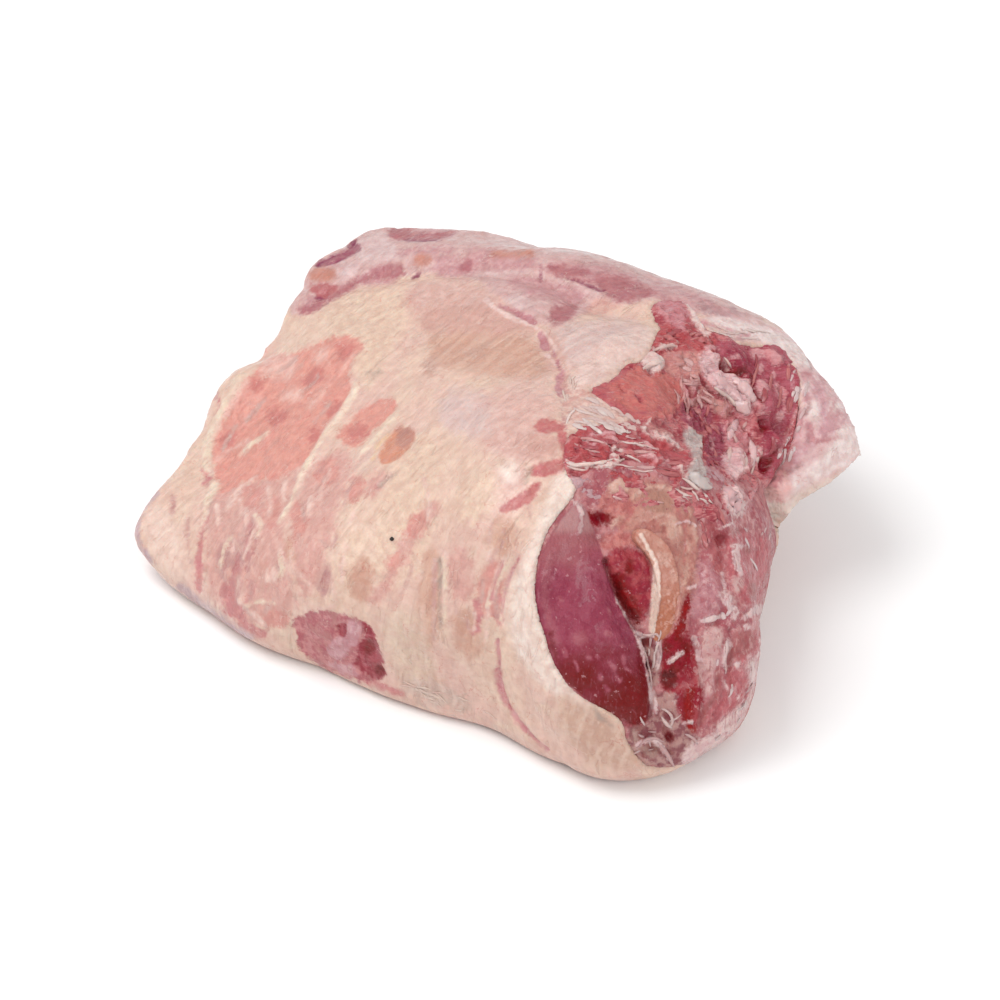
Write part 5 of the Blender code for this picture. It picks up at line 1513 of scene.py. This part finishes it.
# Torn fibres from dark to light red with the muscles laid over. Hollows of the relief get painted
# shade and its ridges a painted highlight.
neck_material, tree, shader = meat_material("lean_of_the_neck_cut", 0.15, 0.12)
places_3d = object_places(tree)
wide_clouds = clouds(tree, places_3d, 7, 4, 0.6)
mid_clouds = clouds(tree, places_3d, 2.8, 4, 0.6)
edge_clouds = clouds(tree, places_3d, 1.0, 3)
fibre_clouds = fibres(tree, places_3d, (5, 1.0, 1.0), 4.0, 0.8, math.radians(40))
mixed = times_plus(tree, fibre_clouds, 0.5, times(tree, wide_clouds, 0.5))
colour = blend(tree, smooth_band(tree, mixed, 0.43, 0.56), TORN_DARK, TORN)
tone_clouds = times_plus(tree, mid_clouds, 0.5, times(tree, fibre_clouds, 0.5))
tone = smooth_band(tree, tone_clouds, 0.43, 0.57)
colour = lay_shows(tree, colour, NECK_SHOWS, tone, edge_clouds)
sinew = smooth_band(tree, fibre_clouds, 0.60, 0.67)
colour = lay(tree, colour, sinew, 0.4, (0.76, 0.48, 0.46))
# Painted shade in the hollows of the relief, and a painted highlight on its ridges.
hollow_shade = smooth_band(tree, attribute(tree, "relief"), -0.7, -2.2)
colour = lay(tree, colour, hollow_shade, 0.75, (0.28, 0.02, 0.045))
ridge_highlight = smooth_band(tree, attribute(tree, "relief"), 0.7, 1.9)
colour = lay(tree, colour, ridge_highlight, 0.4, (0.80, 0.56, 0.53))
finish_meat(tree, shader, colour, 0.55, 0.3, times(tree, fibre_clouds, 0.9))
wear(neck_cut, neck_material)


# Blade bone
# The end of the bone that the knife went past: a hard white rim on its left side, and spongy
# tan bone, stained brown at the foot. It stands in its slot in the meat.
BONE_VOXEL = 0.45 * MM
BONE_SMOOTHING = 3
STAIN_ROWS = (572, 616)  # rows of the picture between which the brown stain sets in
blade_bone = add_piece("blade_bone_face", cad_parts["blade_bone"].data.copy())
blade_bone.data = remeshed(blade_bone, BONE_VOXEL, BONE_SMOOTHING)
points, normals = get_points(blade_bone.data), get_normals(blade_bone.data)
places = picture_places(points)
rim = reach(places, BONE_RIM)
fine = uneven(points, 1.6, 3)
store(blade_bone.data, "rim", rim + 0.5 * fine)
store(blade_bone.data, "foot", step(places[:, 1], *STAIN_ROWS))
face_share = step(normals @ arm_out, 0.3, 0.8)
bone_rise = face_share * (0.15 + 0.2 * fine - 0.3 * step(-rim, -0.4, 0.6))
set_points(blade_bone.data, points + normals * (bone_rise * MM)[:, None])

bone_material, tree, shader = meat_material("bone", 0.45, 0.2)
places_3d = object_places(tree)
pores = clouds(tree, places_3d, 0.9, 3, 0.6)
stains = clouds(tree, places_3d, 4, 3)
tan = blend(tree, smooth_band(tree, stains, 0.40, 0.60), (0.62, 0.32, 0.25), (0.55, 0.235, 0.175))
tan = lay(tree, tan, attribute(tree, "foot"), 0.85, (0.47, 0.135, 0.06))
tan = lay(tree, tan, smooth_band(tree, pores, 0.52, 0.66), 0.5, (0.42, 0.16, 0.12))
colour = blend(tree, patch_mask(tree, "rim", 0.35, 0.5, stains), tan, (0.84, 0.62, 0.535))
finish_meat(tree, shader, colour, 0.6, 0.25, 0.0)
wear(blade_bone, bone_material)
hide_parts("blade_bone")


# Torn strands
# Strings of white sinew, thin membrane and red muscle fibre that the saw left on the neck and the
# knife round the arm cut, with knobs and flecks of fat among them, and a few threads on the fat.
# Each lies on the meat, and runs into it at both ends.
surface_tree = tree_of(fat_cover, arm_cut, neck_cut, blade_bone)
chance = random.Random(7)
noise.seed_set(7)  # or noise_vector goes by the clock, and winds the strands another way each run
STRAND_STEP = 0.7  # millimetres between the rings of a strand
STRAND_SIDES = 8
STRAND_LIFT = 0.15  # millimetres of a strand's middle over the meat
STRAND_SINK = 0.25  # and of its ends under it
BLUNT_END = 0.03  # share of its length at either end where it gets no thinner
SWELL = 0.45  # how much its width comes and goes
SWELL_LENGTH = 2.0
WAVE_LENGTH = 3.0  # millimetres from one bend to the next
GIVEN_WAVES = 0.35  # how far a strand winds off its given path, in millimetres
BEND = 0.3  # how far a scattered strand bends, as a share of half its length
LONGEST_JUMP = 3.0 * MM


def place_in_picture(pixel):
    """The place on the meat that shows at a pixel, and its normal."""
    hit, normal, _, _ = surface_tree.ray_cast(Vector(camera_place), camera_ray(pixel))
    return hit, normal


def strand(path, width, thickness, waves):
    """The rings of a flat string through places of the picture, or none where it has no hold."""
    path = rounded(path, False)
    lengths = np.linalg.norm(np.diff(path, axis=0), axis=1)
    along = np.concatenate([[0], np.cumsum(lengths)]) / PIXELS_PER_MM
    count = max(5, int(along[-1] / STRAND_STEP))
    shares = np.linspace(0, 1, count)
    runs = shares * along[-1]
    shift = chance.random() * 100
    pixels = np.stack([np.interp(runs, along, path[:, axis]) for axis in (0, 1)], axis=1)
    for number, run in enumerate(runs):
        spot = Vector((run / WAVE_LENGTH, shift, 0))
        pixels[number] += np.array(noise.noise_vector(spot)[:2]) * waves * PIXELS_PER_MM
    hits, normals = [], []
    for pixel in pixels:
        hit, normal = place_in_picture(pixel)
        if hit is None or (hits and (hit - hits[-1]).length > LONGEST_JUMP):
            return []
        hits.append(hit)
        normals.append(normal)
    hits = np.array(hits)
    for _ in range(2):
        hits[1:-1] = (hits[:-2] + 2 * hits[1:-1] + hits[2:]) / 4
    directions = np.gradient(hits, axis=0)
    rings = []
    for share, run, hit, direction, normal in zip(shares, runs, hits, directions, normals):
        side = np.cross(normal, direction)
        side /= np.linalg.norm(side) + 1e-12
        over = np.array(normal)
        fullness = math.sin(math.pi * min(max(share, BLUNT_END), 1 - BLUNT_END)) ** 0.5
        swell = 1 + SWELL * noise.noise(Vector((run / SWELL_LENGTH, shift + 9, 0)))
        middle = hit + over * (STRAND_LIFT * fullness - STRAND_SINK * (1 - fullness)) * MM
        angles = np.arange(STRAND_SIDES) * 2 * math.pi / STRAND_SIDES
        across = np.cos(angles) * width / 2 * fullness * swell * MM
        upward = np.sin(angles) * thickness / 2 * fullness * MM
        rings.append(middle + across[:, None] * side + upward[:, None] * over)
    return rings


def strands_piece(name, all_rings, material):
    """One piece of many strands, with a random tone for each."""
    points, faces, tones = [], [], []
    for rings in all_rings:
        tone = chance.random()
        start = len(points)
        for ring in rings:
            points += ring.tolist()
            tones += [tone] * STRAND_SIDES
        for row in range(len(rings) - 1):
            for side in range(STRAND_SIDES):
                after = (side + 1) % STRAND_SIDES
                first, second = start + row * STRAND_SIDES, start + (row + 1) * STRAND_SIDES
                faces.append((first + side, first + after, second + after, second + side))
        last = start + (len(rings) - 1) * STRAND_SIDES
        faces.append(tuple(range(start + STRAND_SIDES - 1, start - 1, -1)))
        faces.append(tuple(range(last, last + STRAND_SIDES)))
    mesh = bpy.data.meshes.new(name)
    mesh.from_pydata(points, [], faces)
    mesh.shade_smooth()
    store(mesh, "tone", tones)
    wear(add_piece(name, mesh), material)


def scattered(shape, box, count, bearing, spread, length, width, thickness, waves=0.5):
    """Strands at random places of an area, all lying roughly one way in the picture."""
    made = []
    low, high = np.array(box[:2]), np.array(box[2:])
    while len(made) < count:
        middle = low + np.array([chance.random(), chance.random()]) * (high - low)
        if shape(middle[None])[0] < 0:
            continue
        angle = math.radians(bearing + chance.uniform(-spread, spread))
        half = np.array((math.cos(angle), math.sin(angle))) * chance.uniform(*length) / 2 * PIXELS_PER_MM
        bend = np.array((-half[1], half[0])) * chance.uniform(-BEND, BEND)
        path = (middle - half, middle + bend, middle + half)
        made.append(strand(path, chance.uniform(*width), chance.uniform(*thickness), waves))
    return [rings for rings in made if rings]


def strand_material(name, first, second, gloss):
    material, tree, shader = meat_material(name, 0.5, 0.14)
    places_3d = object_places(tree)
    mottles = clouds(tree, places_3d, 1.6, 3, 0.6)
    mottled = times(tree, mottles, 0.4)
    share = times_plus(tree, attribute(tree, "tone"), 0.6, mottled)
    colour = blend(tree, smooth_band(tree, share, 0.15, 0.85), first, second)
    finish_meat(tree, shader, colour, gloss, 0.2, 0.0)
    return material


def scatter_all(fields):
    return [rings for field in fields for rings in scattered(*field)]


def strands(rows):
    """Strands along given paths: each row holds a width, a thickness and the corners of its path."""
    made = []
    for width, thickness, *corners in rows:
        made.append(strand(np.reshape(corners, (-1, 2)), width, thickness, GIVEN_WAVES))
    return [rings for rings in made if rings]


# Each field: its outline and its box in the picture, how many strands, which way they lie, how
# much that varies, in degrees, and the ranges of their length, width and thickness.
SINEW_FIELDS = (
    (area(563, 396, 590, 394, 640, 425, 626, 432, 570, 428), (560, 390, 645, 436), 20, 24, 16, (5, 12),
        (1.1, 2.4), (0.2, 0.35)),
    (area(590, 436, 650, 440, 688, 456, 680, 474, 600, 470), (580, 432, 692, 478), 5, 9, 10, (6, 12),
        (0.5, 0.9), (0.25, 0.4)),
    (area(706, 322, 760, 330, 780, 344, 724, 340), (700, 316, 784, 346), 9, 16, 10, (5, 11), (0.7, 1.4),
        (0.2, 0.4)),
    (area(668, 480, 720, 488, 740, 516, 690, 514), (664, 476, 745, 524), 9, 32, 30, (3, 7), (0.5, 1.1),
        (0.3, 0.6)),
    (area(728, 440, 758, 440, 758, 484, 728, 482), (724, 436, 762, 486), 7, 100, 25, (3, 6), (0.8, 1.8),
        (0.5, 0.9)),
)
SINEWS = (
    (1.5, 1.1, 564, 462, 576, 466, 590, 464, 602, 463, 614, 458),
    (1.0, 0.8, 614, 458, 618, 463, 626, 458),
    (0.9, 0.7, 566, 466, 576, 470, 588, 470),
    (1.2, 0.8, 682, 478, 692, 484, 702, 492),
    (0.8, 0.6, 797, 396, 792, 412, 786, 428, 780, 446, 774, 458),
    (2.6, 0.9, 643, 369, 652, 363, 663, 361),
    (1.3, 0.6, 653, 351, 664, 346, 677, 346),
    (1.2, 1.0, 724, 357, 728, 362, 731, 367),
    (1.6, 0.9, 712, 386, 724, 394, 734, 402, 742, 412),
    (1.2, 0.7, 566, 424, 570, 414, 576, 408),
)
KNOBS = (
    (5.0, 3.0, 700, 358, 710, 360, 720, 370),
    (4.4, 2.0, 712, 372, 724, 384, 734, 394, 742, 404),
    (4.4, 2.2, 732, 378, 746, 388, 754, 402),
    (4.6, 1.4, 736, 400, 743, 407, 749, 415),
    (3.6, 2.6, 726, 458, 732, 468, 732, 480),
    (6.0, 3.4, 724, 486, 732, 498, 740, 512),
    (3.2, 2.0, 752, 484, 762, 490, 768, 486),
    (3.4, 2.0, 728, 440, 732, 428, 738, 420),
    (3.0, 2.0, 750, 440, 754, 452, 752, 466),
)
GRISTLE = (
    (5.0, 2.0, 684, 434, 690, 440, 694, 450),
    (3.6, 2.0, 692, 444, 697, 458, 699, 474),
    (4.6, 1.4, 690, 474, 700, 482, 712, 486),
)
RED_FIELDS = (
    (area(578, 430, 690, 440, 688, 478, 580, 474), (572, 428, 692, 482), 13, 10, 14, (5, 11), (1.0, 2.2),
        (0.3, 0.6)),
    (area(640, 334, 700, 332, 716, 345, 700, 352, 650, 354), (636, 326, 720, 356), 9, -12, 25, (3, 7),
        (1.4, 3.0), (0.4, 0.8)),
    (area(724, 346, 780, 348, 797, 384, 792, 430, 774, 474, 764, 470, 766, 410, 752, 374),
        (720, 342, 799, 476), 10, 102, 12, (5, 12), (1.0, 2.0), (0.25, 0.5)),
    (area(676, 400, 714, 404, 722, 466, 706, 468, 684, 430), (672, 396, 724, 470), 13, 75, 40, (2.5, 6),
        (1.0, 2.2), (0.5, 0.9)),
    (area(696, 506, 724, 508, 730, 560, 712, 566), (694, 502, 732, 570), 5, 80, 12, (4, 9), (1.0, 2.0),
        (0.3, 0.6)),
)
PINK_FIELDS = (
    (area(656, 354, 700, 352, 706, 376, 676, 380), (652, 350, 710, 384), 7, 20, 30, (3, 6), (1.2, 2.4),
        (0.35, 0.7)),
    (area(672, 378, 712, 378, 716, 408, 680, 408), (668, 374, 720, 412), 15, 65, 45, (3, 7), (0.9, 1.8),
        (0.4, 0.8), 1.4),
    (area(724, 416, 762, 420, 762, 470, 730, 462), (720, 412, 766, 474), 8, 95, 30, (3, 6), (1.2, 2.4),
        (0.4, 0.8)),
    (area(580, 430, 680, 438, 680, 476, 584, 472), (576, 428, 684, 480), 6, 8, 12, (5, 12), (0.8, 1.6),
        (0.25, 0.5)),
    (area(604, 480, 690, 480, 700, 506, 600, 500), (598, 476, 704, 510), 4, 8, 20, (3, 7), (0.4, 0.8),
        (0.2, 0.35)),
)
TANGLE_FIELDS = (
    (area(632, 714, 690, 708, 704, 740, 692, 766, 640, 766, 628, 740), (624, 700, 708, 770), 9, 20, 60,
        (2.5, 6), (0.5, 0.9), (0.2, 0.4), 1.0),
    (area(650, 630, 664, 632, 660, 690, 654, 706, 648, 660), (644, 626, 668, 710), 8, 95, 18, (3, 8),
        (0.5, 1.1), (0.3, 0.6), 0.8),
    (area(690, 744, 716, 736, 734, 716, 750, 690, 756, 664, 764, 680, 740, 726, 700, 760),
        (686, 660, 766, 764), 7, 125, 25, (2, 6), (0.8, 1.8), (0.15, 0.3), 0.8),
)
TANGLE = (
    (1.1, 0.8, 638, 748, 644, 740, 654, 737, 664, 742),
    (1.4, 0.9, 658, 742, 666, 752, 672, 762, 675, 768),
    (1.1, 0.7, 660, 708, 670, 712, 674, 722, 668, 730),
    (1.2, 0.9, 662, 716, 666, 724, 672, 728),
    (1.1, 0.6, 684, 734, 692, 736, 698, 746),
    (1.0, 0.7, 640, 634, 650, 636, 657, 632, 660, 640),
    (0.9, 0.7, 638, 640, 645, 652, 650, 668, 652, 690),
    (1.3, 0.9, 669, 663, 676, 657, 683, 652),
)
FLECKS = (
    (2.0, 0.5, 703, 621, 711, 619, 720, 617),
    (2.2, 0.6, 742, 617, 751, 611, 760, 606),
    (2.6, 0.6, 727, 640, 728, 648, 726, 656),
    (1.6, 0.5, 725, 660, 726, 668, 726, 674),
    (1.6, 0.5, 735, 552, 736, 562, 740, 571),
    (2.2, 0.5, 752, 660, 754, 672, 751, 684),
)
FLECK_FIELDS = (
    (area(712, 600, 765, 590, 762, 680, 735, 735, 704, 742, 716, 680), (700, 585, 768, 745), 8, 95, 22,
        (2.0, 6.0), (0.8, 1.6), (0.12, 0.25)),
    (area(700, 520, 770, 520, 770, 560, 762, 640, 726, 620, 716, 560), (698, 515, 780, 645), 7, 85, 40,
        (2.0, 6.0), (0.8, 1.6), (0.12, 0.25)),
)
FAT_STRAND_FIELDS = (
    (area(566, 372, 575, 372, 575, 396, 562, 398), (558, 368, 580, 402), 6, 100, 30, (2, 6), (0.6, 1.1),
        (0.2, 0.4), 0.8),
    (area(400, 678, 470, 700, 500, 722, 470, 714, 410, 694), (396, 672, 506, 726), 16, 24, 14, (3, 8),
        (0.5, 1.0), (0.3, 0.5), 0.8),
)
NECK_RIM_FIELDS = (
    (area(788, 366, 806, 370, 808, 404, 802, 438, 794, 462, 782, 480, 770, 476, 782, 452, 790, 424,
        793, 398), (768, 364, 810, 482), 14, 108, 14, (2.5, 7), (0.8, 1.8), (0.15, 0.3), 0.8),
)

fat_thread = strand_material("fat_threads", (0.79, 0.57, 0.475), (0.74, 0.47, 0.41), 0.3)
strands_piece("fat_threads", scatter_all(FAT_STRAND_FIELDS), fat_thread)
white_sinew = strand_material("white_sinew", (0.82, 0.62, 0.565), (0.73, 0.46, 0.42), 0.5)
knob_pink = strand_material("pink_knobs", (0.80, 0.53, 0.52), (0.72, 0.41, 0.42), 0.5)
grey_gristle = strand_material("gristle", (0.70, 0.60, 0.57), (0.60, 0.47, 0.45), 0.5)
red_shred = strand_material("red_shreds", (0.38, 0.07, 0.085), (0.58, 0.18, 0.175), 0.5)
pink_shred = strand_material("pink_shreds", (0.72, 0.40, 0.38), (0.60, 0.26, 0.25), 0.6)
torn_membrane = strand_material("torn_membrane", (0.75, 0.54, 0.50), (0.52, 0.29, 0.29), 0.5)
fat_flecks = strand_material("fat_flecks", (0.78, 0.56, 0.54), (0.68, 0.41, 0.40), 0.4)
strands_piece("neck_red_shreds", scatter_all(RED_FIELDS), red_shred)
strands_piece("neck_pink_shreds", scatter_all(PINK_FIELDS), pink_shred)
strands_piece("neck_sinews", scatter_all(SINEW_FIELDS) + strands(SINEWS), white_sinew)
strands_piece("neck_knobs", strands(KNOBS), knob_pink)
strands_piece("neck_gristle", strands(GRISTLE), grey_gristle)
strands_piece("arm_cut_membranes", scatter_all(TANGLE_FIELDS) + strands(TANGLE), torn_membrane)
strands_piece("arm_cut_flecks", scatter_all(FLECK_FIELDS) + strands(FLECKS), fat_flecks)
strands_piece("neck_rim_flecks", scatter_all(NECK_RIM_FIELDS), fat_flecks)


# Speck
# One black speck of grit, smaller than a peppercorn's crumb, stuck to the fat of the flank.
SPECK_PIXEL = (392, 539)
SPECK_RADIUS = 0.75 * MM
SPECK_UNEVEN = 0.25
SPECK_LIFT = 0.1 * MM
hit, normal = place_in_picture(SPECK_PIXEL)
speck_mesh = bmesh.new()
bmesh.ops.create_icosphere(speck_mesh, subdivisions=3, radius=SPECK_RADIUS)
for corner in speck_mesh.verts:
    corner.co *= 1 + SPECK_UNEVEN * noise.noise(corner.co / SPECK_RADIUS + Vector((3, 1, 4)))
    corner.co += hit + normal * SPECK_LIFT
speck_data = bpy.data.meshes.new("speck")
speck_mesh.to_mesh(speck_data)
speck_mesh.free()
speck_data.shade_smooth()
speck = add_piece("speck", speck_data)
speck_material, _, _ = plain_material(
    "black_grit", {"Base Color": (0.012, 0.010, 0.008, 1), "Roughness": 0.6}
)
wear(speck, speck_material)


# Table and light
# A plain pale table, a bright even room, one broad soft lamp from the upper left and a
# smaller one from the right that puts the small lights on the wet cuts.
FLOOR_HALF = 3.0
FLOOR_DROP = 0.2 * MM  # keeps the table clear of the block's flat underside
ROOM_BRIGHTNESS = 0.72
corners = [(x * FLOOR_HALF, y * FLOOR_HALF, 0) for x, y in ((-1, -1), (1, -1), (1, 1), (-1, 1))]
floor_mesh = bpy.data.meshes.new("floor")
floor_mesh.from_pydata(corners, [], [(0, 1, 2, 3)])
floor = add_piece("floor", floor_mesh)
floor.location.z = -FLOOR_DROP
floor_material, _, _ = plain_material(
    "pale_table", {"Base Color": (0.93, 0.93, 0.93, 1), "Roughness": 0.9, "Specular IOR Level": 0.1}
)
floor_mesh.materials.append(floor_material)

world = bpy.data.worlds.new("room")
world.use_nodes = True
background = world.node_tree.nodes["Background"]
set_inputs(world.node_tree, background, {"Color": (1, 1, 1, 1), "Strength": ROOM_BRIGHTNESS})
bpy.context.scene.world = world


def soft_lamp(name, place, side, power):
    """A square lamp that faces the block."""
    data = bpy.data.lights.new(name, "AREA")
    data.size = side
    data.energy = power
    lamp = bpy.data.objects.new(name, data)
    lamp.location = place
    lamp.rotation_euler = (-Vector(place)).to_track_quat("-Z", "Y").to_euler()
    bpy.context.scene.collection.objects.link(lamp)


soft_lamp("broad_lamp", (-0.55, -0.35, 1.2), 0.9, 11)
soft_lamp("right_lamp", (0.9, -0.5, 0.8), 0.5, 4)
bpy.context.scene.view_settings.view_transform = "Standard"


# Last update of the scene
bpy.context.view_layer.update()
